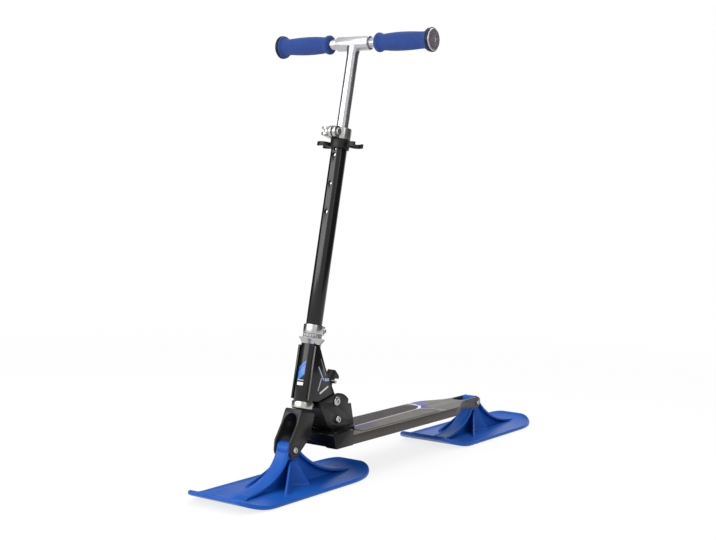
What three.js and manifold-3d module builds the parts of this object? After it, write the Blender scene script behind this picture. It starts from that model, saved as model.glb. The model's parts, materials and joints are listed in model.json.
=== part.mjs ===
// Folding snow scooter: a T-bar kick scooter frame that stands on two pitching skis.
// Lengths are in millimetres and angles in degrees. x points forward, y to the rider's
// left, z up. The ground is z = 0 and the origin lies midway between the two ski axles.
import * as THREE from 'three';
import { mergeVertices } from 'three/addons/utils/BufferGeometryUtils.js';
import Module from 'manifold-3d';

const wasm = await Module();
wasm.setup();

// Clearances
const seatGap = 0.3; // between pieces that are fastened together
const runGap = 0.35; // around pieces that turn or slide
const overrun = 6; // how far a cut runs past the face it opens
const mergeDistance = 0.0001;

// Overall layout
const pivotDistance = 665; // between the ski axles
const axleHeight = 69;
const rakeAngle = 11.5; // lean of the steering axis towards the rider
const steerOffset = 28; // steering axis behind the front axle, at axle height

// Axle hardware, the same at both skis
const axleRadius = 4;
const axleHeadRadius = 6.4;
const axleHeadDepth = 5;
const axleNutDepth = 6;
const spacerRadius = 8;
const hexSocketRadius = 2.6;
const hexSocketDepth = 2.5;

// Ski
const skiLength = 340;
const skiWidth = 160;
const skiCornerRadius = 58;
const skiSheet = 4; // thickness of the pan
const skiFlatLength = 200; // straight running surface
const skiBendRadius = 104; // of the turned-up ends
const skiLipWidth = 5;
const skiLipHeight = 8; // rolled edge, measured from the running surface
const stripWidth = 29; // band over the hump
const stripThickness = 5;
const stripHubRadius = 14; // rounds over the axle
const stripFootReach = 132; // from the axle to where the band meets the pan
const stripFootHeight = 9.5;
const stripShoulderShares = [0.84, 0.4]; // where the hump leaves the hub, of the hub radius
const stripUpperHandleShares = [0.29, 0.55]; // pull of the curve below the hub
const stripLowerHandleShares = [0.55, 0.03]; // pull of the curve above the foot
const webThickness = 9;
const ribThickness = 4;
const forwardRibFoot = 84; // ahead of the axle
const forwardRibSpread = 56; // beside the middle plane
const forwardRibTop = 7;
const middleRibFoot = 1;
const middleRibSpread = 50;
const middleRibTop = -12;
const ribTopHeight = 49;
const ribToeHeight = 6.5;
const ribTopSpread = 14;

// Fork
const forkHalfWidth = 25;
const forkLeg = 7; // thickness of a leg
const forkCrownTop = 67.2; // station along the steering axis
const forkCrownWall = 8;
const forkCrownRear = 16.3;
const forkCrownFront = 24.5;
const forkCornerRadius = 6;
const forkTipRadius = 15;
const forkRearShares = [[-0.86, 0.543], [-0.345, 0.185]]; // of crown rear and crown top
const forkFrontShares = [[1.79, 0.12], [1.28, 0.573]]; // of crown front and crown top
const forkEdgeRadius = 9;
const steererRadius = 12.7;
const steererWall = 2.7;
const steererTop = 250;

// Headset and head tube
const headRadius = 18;
const headWall = 3;
const headBottom = 82;
const headTop = 186;
const lowerCupRadius = 20;
const lowerCupStep = 2.2;
const upperCupFlare = 24.5;
const upperCupTop = 197.4;
const upperCupLip = 1.5;
const cupSkirtDepth = 7;
const cupSkirtWall = 1.4;
const bearingRadius = 16.8;
const bearingDepth = 7;
const nutRadius = 17.5;
const nutNotchDepth = 0.9;
const nutDepth = 7.2;
const nutNotchCount = 20;

// Lower steering tube with its split collar
const steerTubeRadius = 15;
const steerTubeWall = 2;
const steerTubeTop = 588;
const holeRadius = 4;
const holePitch = 53.7;
const topHoleStation = 536.6;
const holeCount = 3;
const slitWidth = 3;
const slitEndRadius = 3.2;
const slitEndStation = 546.5;
const collarHeight = 16.4;
const collarRadius = 18.2;
const collarEarReach = 27.5;
const collarEarHalfWidth = 7;
const collarBoltReach = 22.6;
const collarBoltRadius = 2.5;
const collarBoltHeadRadius = 4.6;
const collarBoltHeadDepth = 4;
const collarSlit = 2;

// Quick-release clamp at the mouth of the steering tube
const clampRadius = 18.4;
const clampBottom = 567;
const clampTop = 588;
const clampEarHalfWidth = 8;
const clampBoltReach = 23.5;
const clampBoltRadius = 2.6;
const clampNutRadius = 6.6;
const clampNutDepth = 4.2;
const camRadius = 8.6;
const camDistance = 17.6; // cam axis beside the middle plane
const camPinRadius = 2;
const camEyeRadius = 4.2;
const camEyeHeight = 6;
const leverHeight = 15;
const leverTail = 36; // end of the arm behind the steering axis
const leverThickness = 4.6;
const leverTailRadius = 2;
const leverBowShares = [0.9, 0.35, -0.35]; // bends of the arm, of camRadius

// Handle clip below the clamp
const clipBottom = 549.4;
const clipTop = 566.7;
const clipRadius = 18.2;
const hookBottom = 553.6;
const hookHeight = 7.6;
const hookDistance = 33.5;
const hookRadius = 16;
const hookWall = 4.6;
const hookMouthStart = 38;
const hookMouthEnd = 128;

// T stem, handles and grips
const stemRadius = 11;
const stemWall = 1.6;
const stemBottom = 375;
const guideHeight = 24;
const bushingDepth = 36;
const barStation = 751;
const sleeveRadius = 13.5;
const sleeveHalfLength = 36;
const sleeveConeHeight = 9;
const sleeveChamfer = 1;
const handleRadius = 9.65;
const handleWall = 1.5;
const handleInnerEnd = 1.6; // from the middle plane
const gripStart = 52;
const gripLength = 114;
const gripBeadRadius = 18;
const gripBarrelRadius = 16.75;
const gripNeckRadius = 15;
const gripFlangeRadius = 21;
const gripStationShares = [0.035, 0.06, 0.115, 0.22, 0.75, 0.875, 0.905, 0.945, 0.965];
const rimRadius = 22;
const rimDepth = 5;
const rimPlate = 1.6;
const capRadius = 18.2;
const capDepth = 6.2;
const capDome = 2.6;
const capDimpleRadius = 3;
const capShankRadius = 7.8;
const capShankLength = 12;

// Snap buttons
const heightButtonRadius = 3.4;
const heightButtonLength = 5;
const heightButtonInset = 0.4;
const handleButtonRadius = 2.8;
const handleButtonLength = 4.6;
const handleButtonInset = 0.3;
const handleButtonPlace = 20; // from the middle plane

// Fold: the lower bracket bolt is the pivot, the upper one the stop
const foldBehindAxle = 119;
const foldHeight = 108.5;
const stopRadius = 34.7; // stop bolt from the pivot
const stopAngle = 84;
const pivotBoltRadius = 5;
const pivotHeadRadius = 7;
const pivotHeadDepth = 5;
const pivotNutDepth = 5;
const stopBoltRadius = 4.5;
const stopHeadRadius = 9;
const stopHeadDepth = 4;
const stopSpacerRadius = 6;

// Yoke of the head tube
const yokeHalfWidth = 19.5;
const yokeSheet = 3.5;
const yokeFront = 12;
const yokeTop = 183;
const yokeBottom = 85;
const yokeRearShares = [[-0.17, 1], [-2.25, 0.814]]; // of yokeFront and yokeTop
const yokeThroatShares = [-2, 1]; // of yokeFront and yokeBottom
const yokeWeb = 4.4;
const yokeLobeRadius = 46;
const yokeLobeAngles = [87, 108, 128];
const yokeEndRadius = 13;
const yokeFingerRadius = 31;
const yokeFingerAngle = 10;
const yokeBarrelRadius = 9;
const slotEndAngle = -25;

// Folding bracket on the deck
const bracketHalfWidth = 24;
const bracketSheet = 4.1;
const bracketFloor = 3.5;
const bracketArcRadius = 49;
const bracketFrontShares = [[1.06, 0.765], [1.06, 0.561], [0.592, -0.153]]; // of the arc radius
const bracketBaseFrontShare = 0.327;
const bracketWebInnerShares = [[0.99, 0.61], [0.5, -0.092]];
const bracketWebFootShare = 0.184;
const bracketArcStart = 136;
const bracketArcEnd = 90;
const bracketNotchShares = [[-0.69, 0.51], [-0.892, 0.515]];
const bracketRearShares = [[-1.041, -0.031], [-1.102, 0]];
const bracketScrewPlace = 36; // behind the fold pivot
const bracketScrewSpread = 10;
const bracketScrewRadius = 2.7;
const bracketScrewHeadRadius = 4.8;
const bracketScrewHeadDepth = 2.8;
const bracketScrewLength = 20;

// Release lever inside the yoke
const leverPinAhead = 1; // ahead of the fold pivot
const leverPinAbove = 69.5; // above the fold pivot
const leverPinRadius = 3;
const releaseHubRadius = 8;
const releaseHalfWidth = 7;
const hookArmShares = [[0.9, -0.6], [2.6, -1.2], [3, -4.1], [2.1, -4.85], [0.45, -3.42], [-0.3, -2.2], [-0.95, -0.4]];
const thumbShares = [[0.2, 0.9], [-0.7, 1.5], [-1.35, 2.6], [-2.1, 2.3], [-3.5, 0.8], [-3.35, 0.1], [-2.2, 0.5], [-0.8, -0.3]];
const releaseEdgeRadius = 1.6;

// Deck
const deckHalfWidth = 51;
const deckHeight = 18;
const deckTopAboveAxle = 12;
const deckFront = 134.3; // behind the front axle
const deckStraightEnd = 510;
const deckArmStart = 612;
const deckArmHalfWidth = 25.5;
const deckArmTipRadius = 12;
const deckCurveShares = [0.42, 0.62];
const deckWall = 4;
const deckSkin = 3.2;
const deckRibPlace = 17;
const deckRibThickness = 3;
const deckPocketEnd = 588;
const armSlotHalfWidth = 18;
const armSlotStart = 600;
const tapeStart = 176;
const tapeEnd = 478;
const tapeHalfWidth = 45;
const tapeThickness = 0.9;
const tapeEndBow = 26;
const tapeCornerRadius = 8;

// Nose block at the front end of the deck
const noseTopFront = 69.6;
const noseBottomFront = 79.6;
const noseTopAboveDeck = 10;
const nosePedestalEnd = 172;
const nosePedestalHalfWidth = 27;
const noseEdgeRadius = 3;
const noseRiseWidth = 56;
const noseRiseHeight = 2.4;

// Facets
const roundSteps = 24; // round a tube
const smallSteps = 12; // round a bolt head
const tinySteps = 10; // round a pin
const cornerSteps = 2; // half the facets of a rounded corner
const bendSteps = 6; // along a long curve

const rake = THREE.MathUtils.degToRad(rakeAngle);
const turn = (degrees) => THREE.MathUtils.degToRad(degrees);

// Looks
const looks = {
  blueShell: { color: 0x1450b4, roughness: 0.38, metalness: 0 },
  blueFoam: { color: 0x2a4c9c, roughness: 0.85, metalness: 0 },
  satinAluminium: { color: 0xb9babd, roughness: 0.34, metalness: 1 },
  silver: { color: 0xc6c7c9, roughness: 0.22, metalness: 1 },
  greyNut: { color: 0x8c8e92, roughness: 0.42, metalness: 0.9 },
  glossBlack: { color: 0x0c0c0e, roughness: 0.22, metalness: 0.1 },
  deckGrey: { color: 0x2c2c2f, roughness: 0.4, metalness: 0.7 },
  gritBlack: { color: 0x26262a, roughness: 0.95, metalness: 0 },
  mouldedBlack: { color: 0x121214, roughness: 0.45, metalness: 0 },
  whiteNylon: { color: 0xd8d8d4, roughness: 0.5, metalness: 0 },
};

// Axes: a drawing's plane and the direction in which it is drawn out
const alongX = new THREE.Matrix4().makeBasis(
  new THREE.Vector3(0, 1, 0),
  new THREE.Vector3(0, 0, 1),
  new THREE.Vector3(1, 0, 0),
);
const alongY = new THREE.Matrix4().makeBasis(
  new THREE.Vector3(1, 0, 0),
  new THREE.Vector3(0, 0, 1),
  new THREE.Vector3(0, -1, 0),
);
const alongZ = new THREE.Matrix4();

// A drawing given in the plane across an axis, drawn out between two places on that axis
function drawOut(axis, shape, from, to, steps = cornerSteps) {
  const geometry = new THREE.ExtrudeGeometry(shape, {
    depth: to - from,
    bevelEnabled: false,
    curveSegments: steps,
  });
  geometry.translate(0, 0, axis === alongY ? -to : from);
  return geometry.applyMatrix4(axis);
}

// A round drawing with an optional bore
function round(a, b, radius, bore = 0) {
  const shape = new THREE.Shape();
  shape.absarc(a, b, radius, 0, 2 * Math.PI, false);
  if (bore > 0) {
    const hole = new THREE.Path();
    hole.absarc(a, b, bore, 0, 2 * Math.PI, true);
    shape.holes.push(hole);
  }
  return shape;
}

function rod(axis, a, b, radius, from, to, steps = roundSteps) {
  return drawOut(axis, round(a, b, radius), from, to, steps / 2);
}

function sleeve(axis, a, b, radius, bore, from, to, steps = roundSteps) {
  return drawOut(axis, round(a, b, radius, bore), from, to, steps / 2);
}

// A drawing with straight sides whose corners [a, b, radius] may be rounded
function outline(corners) {
  const shape = new THREE.Shape();
  const count = corners.length;
  for (let i = 0; i < count; i += 1) {
    const [a, b, radius = 0] = corners[i];
    const here = new THREE.Vector2(a, b);
    const before = new THREE.Vector2(...corners[(i + count - 1) % count].slice(0, 2)).sub(here);
    const after = new THREE.Vector2(...corners[(i + 1) % count].slice(0, 2)).sub(here);
    const put = i === 0 ? 'moveTo' : 'lineTo';
    if (radius > 0) {
      const reach = Math.min(before.length(), after.length()) / 2;
      const half = Math.acos(before.clone().normalize().dot(after.clone().normalize())) / 2;
      const bend = Math.min(radius, reach * Math.tan(half));
      const first = before.clone().setLength(bend / Math.tan(half));
      const last = after.clone().setLength(bend / Math.tan(half));
      const centre = first.clone().add(last).setLength(bend / Math.sin(half));
      const start = first.clone().sub(centre).angle();
      const end = last.clone().sub(centre).angle();
      shape[put](a + first.x, b + first.y);
      shape.absarc(a + centre.x, b + centre.y, bend, start, end, before.cross(after) > 0);
    } else {
      shape[put](a, b);
    }
  }
  shape.closePath();
  return shape;
}

function rectangle(a0, a1, b0, b1, radius = 0) {
  return outline([[a0, b0, radius], [a1, b0, radius], [a1, b1, radius], [a0, b1, radius]]);
}

function block(x0, x1, y0, y1, z0, z1) {
  return drawOut(alongZ, rectangle(x0, x1, y0, y1), z0, z1);
}

// A profile of [radius, place] turned round the z or the y axis
function turned(axis, profile, steps = roundSteps) {
  const points = profile.map(([radius, place]) => new THREE.Vector2(radius, place));
  if (profile[0][0] > 0) {
    points.push(points[0].clone());
  }
  const geometry = new THREE.LatheGeometry(points, steps);
  return axis === alongZ ? geometry.applyMatrix4(alongY) : geometry;
}

function moved(geometry, x, y, z) {
  return geometry.translate(x, y, z);
}

// A closed solid from a geometry, with its faces pointing out
function solidOf(shape) {
  if (shape instanceof wasm.Manifold) {
    return shape;
  }
  const bare = shape.clone();
  bare.deleteAttribute('normal');
  bare.deleteAttribute('uv');
  const merged = mergeVertices(bare, mergeDistance);
  const places = merged.getAttribute('position').array;
  const index = merged.getIndex().array;
  const faces = [];
  let volume = 0;
  for (let i = 0; i < index.length; i += 3) {
    const [a, b, c] = [index[i], index[i + 1], index[i + 2]];
    if (a !== b && b !== c && c !== a) {
      faces.push(a, b, c);
      const [p, q, r] = [a, b, c].map((k) => new THREE.Vector3().fromArray(places, 3 * k));
      volume += p.dot(q.cross(r));
    }
  }
  const triVerts = Uint32Array.from(faces);
  if (volume < 0) {
    for (let i = 0; i < triVerts.length; i += 3) {
      [triVerts[i + 1], triVerts[i + 2]] = [triVerts[i + 2], triVerts[i + 1]];
    }
  }
  const mesh = new wasm.Mesh({ numProp: 3, vertProperties: Float32Array.from(places), triVerts });
  return new wasm.Manifold(mesh);
}

const fuse = (first, ...others) => others.reduce((sum, next) => sum.add(solidOf(next)), solidOf(first));
const cut = (first, ...tools) => tools.reduce((rest, tool) => rest.subtract(solidOf(tool)), solidOf(first));
const common = (first, second) => solidOf(first).intersect(solidOf(second));

function piece(parent, name, look, shape) {
  const { vertProperties, triVerts } = solidOf(shape).getMesh();
  const geometry = new THREE.BufferGeometry();
  geometry.setAttribute('position', new THREE.BufferAttribute(Float32Array.from(vertProperties), 3));
  geometry.setIndex(new THREE.BufferAttribute(Uint32Array.from(triVerts), 1));
  geometry.computeVertexNormals();
  const mesh = new THREE.Mesh(geometry, new THREE.MeshStandardMaterial(look));
  mesh.name = name;
  parent.add(mesh);
}

// Frames: one on the ground below the front axle, one along the steering axis, one at each ski
const scooter = new THREE.Group();
const ground = new THREE.Group();
ground.position.x = pivotDistance / 2;
scooter.add(ground);
const steer = new THREE.Group();
steer.position.set(-steerOffset, 0, axleHeight);
steer.rotation.y = -rake;
ground.add(steer);
const rearGround = new THREE.Group();
rearGround.position.x = -pivotDistance;
ground.add(rearGround);

// A place given along the steering axis, in the ground frame
function steerPoint(ahead, station) {
  const x = ahead * Math.cos(rake) - station * Math.sin(rake) - steerOffset;
  const z = ahead * Math.sin(rake) + station * Math.cos(rake) + axleHeight;
  return [x, z];
}

function inGround(geometry) {
  return geometry.rotateY(-rake).translate(-steerOffset, 0, axleHeight);
}

const foldX = -foldBehindAxle;
const foldZ = foldHeight;
function fromFold(radius, angle) {
  return [foldX + radius * Math.cos(turn(angle)), foldZ + radius * Math.sin(turn(angle))];
}
const [stopX, stopZ] = fromFold(stopRadius, stopAngle);

// A bolt along y with its socket head on the left side, and its nut on the right side
function boltAcross(x, z, radius, headRadius, headDepth, seat, tail) {
  const shank = rod(alongY, x, z, radius, tail, seat + headDepth / 2, smallSteps);
  const dome = turned(alongY, [
    [0, seat + seatGap],
    [headRadius, seat + seatGap],
    [headRadius, seat + headDepth * 0.55],
    [headRadius * 0.72, seat + headDepth],
    [0, seat + headDepth],
  ], smallSteps);
  const socketFloor = seat + headDepth - hexSocketDepth;
  const socket = rod(alongY, x, z, hexSocketRadius, socketFloor, seat + headDepth + overrun, 6);
  return cut(fuse(shank, moved(dome, x, 0, z)), socket);
}

function nutAcross(x, z, boltRadius, radius, seat, depth) {
  const hex = rod(alongY, x, z, radius, -seat - depth, -seat - seatGap, 6);
  return cut(hex, rod(alongY, x, z, boltRadius + seatGap, -seat - depth - overrun, 0, smallSteps));
}

// Skis

// Side view of a pan with turned-up ends, of a given thickness
function panSection(thickness) {
  const half = skiFlatLength / 2;
  const sweep = Math.asin(Math.min(1, (skiLength / 2 + overrun - half) / skiBendRadius));
  const down = -Math.PI / 2;
  const inner = skiBendRadius - thickness;
  const shape = new THREE.Shape();
  shape.moveTo(-half, 0);
  shape.lineTo(half, 0);
  shape.absarc(half, skiBendRadius, skiBendRadius, down, down + sweep, false);
  shape.absarc(half, skiBendRadius, inner, down + sweep, down, true);
  shape.absarc(-half, skiBendRadius, inner, down, down - sweep, true);
  shape.absarc(-half, skiBendRadius, skiBendRadius, down - sweep, down, false);
  shape.closePath();
  return shape;
}

function skiPlan(inset) {
  const x = skiLength / 2 - inset;
  const y = skiWidth / 2 - inset;
  return rectangle(-x, x, -y, y, skiCornerRadius - inset);
}

// Side view of the hump: round over the axle, then flaring down to its feet
function humpSection(sink) {
  const hub = stripHubRadius - sink;
  const run = stripFootReach - sink;
  const foot = Math.max(stripFootHeight - sink, skiSheet / 2);
  const [shoulderX, shoulderZ] = stripShoulderShares.map((share) => share * hub);
  const rise = axleHeight + shoulderZ - foot;
  const upperX = shoulderX + stripUpperHandleShares[0] * run;
  const upperZ = axleHeight + shoulderZ - stripUpperHandleShares[1] * rise;
  const lowerX = run * stripLowerHandleShares[0];
  const lowerZ = foot + stripLowerHandleShares[1] * rise;
  const start = Math.atan2(shoulderZ, shoulderX);
  const shape = new THREE.Shape();
  shape.moveTo(-run, skiSheet / 2);
  shape.lineTo(run, skiSheet / 2);
  shape.lineTo(run, foot);
  shape.bezierCurveTo(lowerX, lowerZ, upperX, upperZ, shoulderX, axleHeight + shoulderZ);
  shape.absarc(0, axleHeight, hub, start, Math.PI - start, false);
  shape.bezierCurveTo(-upperX, upperZ, -lowerX, lowerZ, -run, foot);
  shape.closePath();
  return shape;
}

// An upright gusset that fans out from the hub to its foot on the pan
function gusset(topX, footX, footY) {
  const run = Math.hypot(footX - topX, footY - ribTopSpread);
  const angle = Math.atan2(footY - ribTopSpread, footX - topX);
  const root = -ribTopSpread / Math.sin(angle) + webThickness / 4;
  const shape = outline([
    [root, skiSheet / 2],
    [run, skiSheet / 2],
    [run, ribToeHeight],
    [0, ribTopHeight],
    [root, ribTopHeight],
  ]);
  const plate = drawOut(alongY, shape, -ribThickness / 2, ribThickness / 2);
  return moved(plate.rotateZ(angle), topX, ribTopSpread, 0);
}

function buildSki() {
  const tall = 2 * skiBendRadius;
  const pan = common(
    drawOut(alongY, panSection(skiSheet), -skiWidth, skiWidth, bendSteps / 2),
    drawOut(alongZ, skiPlan(0), -overrun, tall, bendSteps),
  );
  const lip = cut(
    common(
      drawOut(alongY, panSection(skiLipHeight), -skiWidth, skiWidth, bendSteps / 2),
      drawOut(alongZ, skiPlan(0), -overrun, tall, bendSteps),
    ),
    drawOut(alongZ, skiPlan(skiLipWidth), -overrun, tall, bendSteps),
  );
  const hump = drawOut(alongY, humpSection(0), -stripWidth / 2, stripWidth / 2, bendSteps);
  const under = drawOut(alongY, humpSection(stripThickness), -stripWidth, stripWidth, bendSteps);
  const band = cut(hump, under);
  const web = drawOut(alongY, humpSection(stripThickness / 2), -webThickness / 2, webThickness / 2, bendSteps);
  const hub = rod(alongY, 0, axleHeight, stripHubRadius - seatGap, -stripWidth / 2, stripWidth / 2, smallSteps);
  const bore = rod(alongY, 0, axleHeight, axleRadius + runGap, -skiWidth, skiWidth, smallSteps);
  const gussets = [];
  for (const [topX, footX, footY] of [
    [forwardRibTop, forwardRibFoot, forwardRibSpread],
    [middleRibTop, middleRibFoot, middleRibSpread],
  ]) {
    const left = gusset(topX, footX, footY);
    gussets.push(left, left.clone().scale(1, -1, 1));
  }
  const abovePan = drawOut(alongY, panSection(axleHeight + stripHubRadius), -skiWidth, skiWidth, bendSteps / 2);
  return cut(fuse(pan, lip, common(fuse(band, web, hub, ...gussets), abovePan)), bore);
}

const ski = buildSki();
piece(ground, 'front_ski', looks.blueShell, ski);
piece(rearGround, 'rear_ski', looks.blueShell, ski);

// Axle hardware of a ski that hangs between two legs of a given half gap and half width
function axleSet(parent, place, halfGap, halfWidth) {
  const hub = stripWidth / 2;
  const tail = -halfWidth - axleNutDepth - seatGap;
  const bolt = boltAcross(0, axleHeight, axleRadius, axleHeadRadius, axleHeadDepth, halfWidth, tail);
  piece(parent, `${place}_axle_bolt`, looks.silver, bolt);
  const nut = nutAcross(0, axleHeight, axleRadius, axleHeadRadius, halfWidth, axleNutDepth);
  piece(parent, `${place}_axle_nut`, looks.silver, nut);
  for (const [side, name] of [[1, 'left'], [-1, 'right']]) {
    const ends = [side * (hub + runGap), side * (halfGap - runGap)].sort((a, b) => a - b);
    const ring = sleeve(alongY, 0, axleHeight, spacerRadius, axleRadius + seatGap, ...ends, smallSteps);
    piece(parent, `${place}_spacer_${name}`, looks.whiteNylon, ring);
  }
}
axleSet(ground, 'front', forkHalfWidth - forkLeg, forkHalfWidth);
axleSet(rearGround, 'rear', armSlotHalfWidth, deckArmHalfWidth);

// Fork: an arched channel seen from the front, swept legs seen from the side
const axleAhead = steerOffset * Math.cos(rake);
const axleStation = -steerOffset * Math.sin(rake);
const forkGap = forkHalfWidth - forkLeg;
const forkFloor = axleStation - forkTipRadius - overrun;
const forkArch = outline([
  [-forkHalfWidth, forkFloor],
  [-forkGap, forkFloor],
  [-forkGap, forkCrownTop - forkCrownWall, forkGap],
  [forkGap, forkCrownTop - forkCrownWall, forkGap],
  [forkGap, forkFloor],
  [forkHalfWidth, forkFloor],
  [forkHalfWidth, forkCrownTop, forkCornerRadius],
  [-forkHalfWidth, forkCrownTop, forkCornerRadius],
]);
const forkSide = outline([
  [-forkCrownRear, forkCrownTop],
  [forkRearShares[0][0] * forkCrownRear, forkRearShares[0][1] * forkCrownTop, forkEdgeRadius],
  [forkRearShares[1][0] * forkCrownRear, forkRearShares[1][1] * forkCrownTop, forkEdgeRadius],
  [axleAhead - forkTipRadius * Math.cos(turn(rakeAngle * 2)), axleStation - forkTipRadius * Math.sin(turn(rakeAngle * 2))],
  [axleAhead + forkTipRadius, axleStation],
  [forkFrontShares[0][0] * forkCrownFront, forkFrontShares[0][1] * forkCrownTop, forkEdgeRadius],
  [forkFrontShares[1][0] * forkCrownFront, forkFrontShares[1][1] * forkCrownTop, forkEdgeRadius],
  [forkCrownFront, forkCrownTop],
]);
const forkProfile = fuse(
  drawOut(alongY, forkSide, -forkHalfWidth, forkHalfWidth),
  rod(alongY, axleAhead, axleStation, forkTipRadius, -forkHalfWidth, forkHalfWidth),
);
const forkReach = axleAhead + 2 * forkTipRadius;
const steererBore = steererRadius - steererWall;
const fork = cut(
  fuse(
    common(forkProfile, drawOut(alongX, forkArch, -forkReach, forkReach, bendSteps)),
    rod(alongZ, 0, 0, steererRadius, forkCrownTop - forkCrownWall / 2, steererTop),
  ),
  rod(alongZ, 0, 0, steererBore, forkCrownTop - forkCrownWall - overrun, steererTop + overrun),
  rod(alongY, axleAhead, axleStation, axleRadius + seatGap, -forkReach, forkReach, smallSteps),
);
piece(steer, 'fork', looks.glossBlack, fork);

// Headset: cups, bearings and the knurled nut
const cupBore = bearingRadius + seatGap;
const headBore = headRadius - headWall;
const skirtRadius = headBore - seatGap;
const skirtBore = skirtRadius - cupSkirtWall;
const lowerCupBottom = forkCrownTop + 2 * seatGap;
const lowerCupTop = headBottom - seatGap;
const lowerCup = turned(alongZ, [
  [cupBore, lowerCupBottom],
  [lowerCupRadius - lowerCupStep, lowerCupBottom],
  [lowerCupRadius, lowerCupBottom + lowerCupStep],
  [lowerCupRadius, lowerCupTop - lowerCupStep],
  [lowerCupRadius - lowerCupStep / 2, lowerCupTop],
  [skirtRadius, lowerCupTop],
  [skirtRadius, lowerCupTop + cupSkirtDepth],
  [skirtBore, lowerCupTop + cupSkirtDepth],
  [skirtBore, lowerCupBottom + seatGap + bearingDepth],
  [cupBore, lowerCupBottom + seatGap + bearingDepth],
]);
piece(steer, 'lower_cup', looks.silver, lowerCup);
const upperCupBottom = headTop + seatGap;
const upperSeat = upperCupTop - bearingDepth - seatGap;
const upperCup = turned(alongZ, [
  [skirtBore, upperCupBottom - cupSkirtDepth],
  [skirtRadius, upperCupBottom - cupSkirtDepth],
  [skirtRadius, upperCupBottom],
  [headRadius, upperCupBottom],
  [headRadius + upperCupLip, upperSeat],
  [upperCupFlare - upperCupLip, upperCupTop - 2 * upperCupLip],
  [upperCupFlare, upperCupTop],
  [upperCupFlare - upperCupLip, upperCupTop],
  [cupBore + upperCupLip, upperCupTop - 2 * upperCupLip],
  [cupBore, upperCupTop - 2 * upperCupLip],
  [cupBore, upperSeat],
  [skirtBore, upperSeat],
]);
piece(steer, 'upper_cup', looks.silver, upperCup);
const bearingBore = steererRadius + runGap;
const lowerBearing = sleeve(alongZ, 0, 0, bearingRadius, bearingBore, lowerCupBottom, lowerCupBottom + bearingDepth);
piece(steer, 'lower_bearing', looks.greyNut, lowerBearing);
const upperBearing = sleeve(alongZ, 0, 0, bearingRadius, bearingBore, upperSeat + seatGap, upperCupTop - seatGap);
piece(steer, 'upper_bearing', looks.greyNut, upperBearing);

const nutBottom = upperCupTop + seatGap;
const nutTop = nutBottom + nutDepth;
const nutRim = new THREE.Shape();
for (let i = 0; i < nutNotchCount; i += 1) {
  for (const [step, depth] of [[0, 0], [0.55, 0], [0.7, nutNotchDepth], [0.85, nutNotchDepth]]) {
    const angle = (2 * Math.PI * (i + step)) / nutNotchCount;
    const put = i + step === 0 ? 'moveTo' : 'lineTo';
    nutRim[put]((nutRadius - depth) * Math.cos(angle), (nutRadius - depth) * Math.sin(angle));
  }
}
nutRim.closePath();
const nutHole = new THREE.Path();
nutHole.absarc(0, 0, steererRadius + seatGap, 0, 2 * Math.PI, true);
nutRim.holes.push(nutHole);
piece(steer, 'headset_nut', looks.greyNut, drawOut(alongZ, nutRim, nutBottom, nutTop, smallSteps));

// Lower steering tube: three height holes and a clamp slit with a relief hole, all in front
const tubeBottom = nutTop + seatGap;
const tubeBore = steerTubeRadius - steerTubeWall;
const tubeHoles = [];
for (let i = 0; i < holeCount; i += 1) {
  const station = topHoleStation - i * holePitch;
  tubeHoles.push(rod(alongX, 0, station, holeRadius, 0, steerTubeRadius + overrun, smallSteps));
}
const steeringTube = cut(
  sleeve(alongZ, 0, 0, steerTubeRadius, tubeBore, tubeBottom, steerTubeTop),
  ...tubeHoles,
  rod(alongX, 0, slitEndStation, slitEndRadius, 0, steerTubeRadius + overrun, tinySteps),
  block(0, steerTubeRadius + overrun, -slitWidth / 2, slitWidth / 2, slitEndStation, steerTubeTop + overrun),
);
piece(steer, 'steering_tube', looks.glossBlack, steeringTube);

// Split collar that grips the tube above the nut; its ears and bolt are behind the tube
const gripBore = steerTubeRadius + seatGap;
const collarTop = tubeBottom + collarHeight;
const collarMiddle = (tubeBottom + collarTop) / 2;
const collarBoltHole = collarBoltRadius + seatGap;
const collar = cut(
  fuse(
    rod(alongZ, 0, 0, collarRadius, tubeBottom, collarTop),
    drawOut(
      alongZ,
      rectangle(-collarEarReach, 0, -collarEarHalfWidth, collarEarHalfWidth, collarSlit),
      tubeBottom,
      collarTop,
    ),
  ),
  rod(alongZ, 0, 0, gripBore, tubeBottom - overrun, collarTop + overrun),
  block(-collarEarReach - overrun, 0, -collarSlit / 2, collarSlit / 2, tubeBottom - overrun, collarTop + overrun),
  rod(alongY, -collarBoltReach, collarMiddle, collarBoltHole, -collarEarReach, collarEarReach, tinySteps),
);
piece(steer, 'headset_collar', looks.silver, collar);
const collarBolt = boltAcross(
  -collarBoltReach,
  collarMiddle,
  collarBoltRadius,
  collarBoltHeadRadius,
  collarBoltHeadDepth,
  collarEarHalfWidth,
  -collarEarHalfWidth,
);
piece(steer, 'collar_bolt', looks.silver, collarBolt);

// Bushing that centres the stem in the mouth of the tube
const bushing = sleeve(
  alongZ,
  0,
  0,
  tubeBore - seatGap,
  stemRadius + runGap,
  steerTubeTop - bushingDepth,
  steerTubeTop + seatGap,
);
piece(steer, 'tube_bushing', looks.mouldedBlack, bushing);

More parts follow.
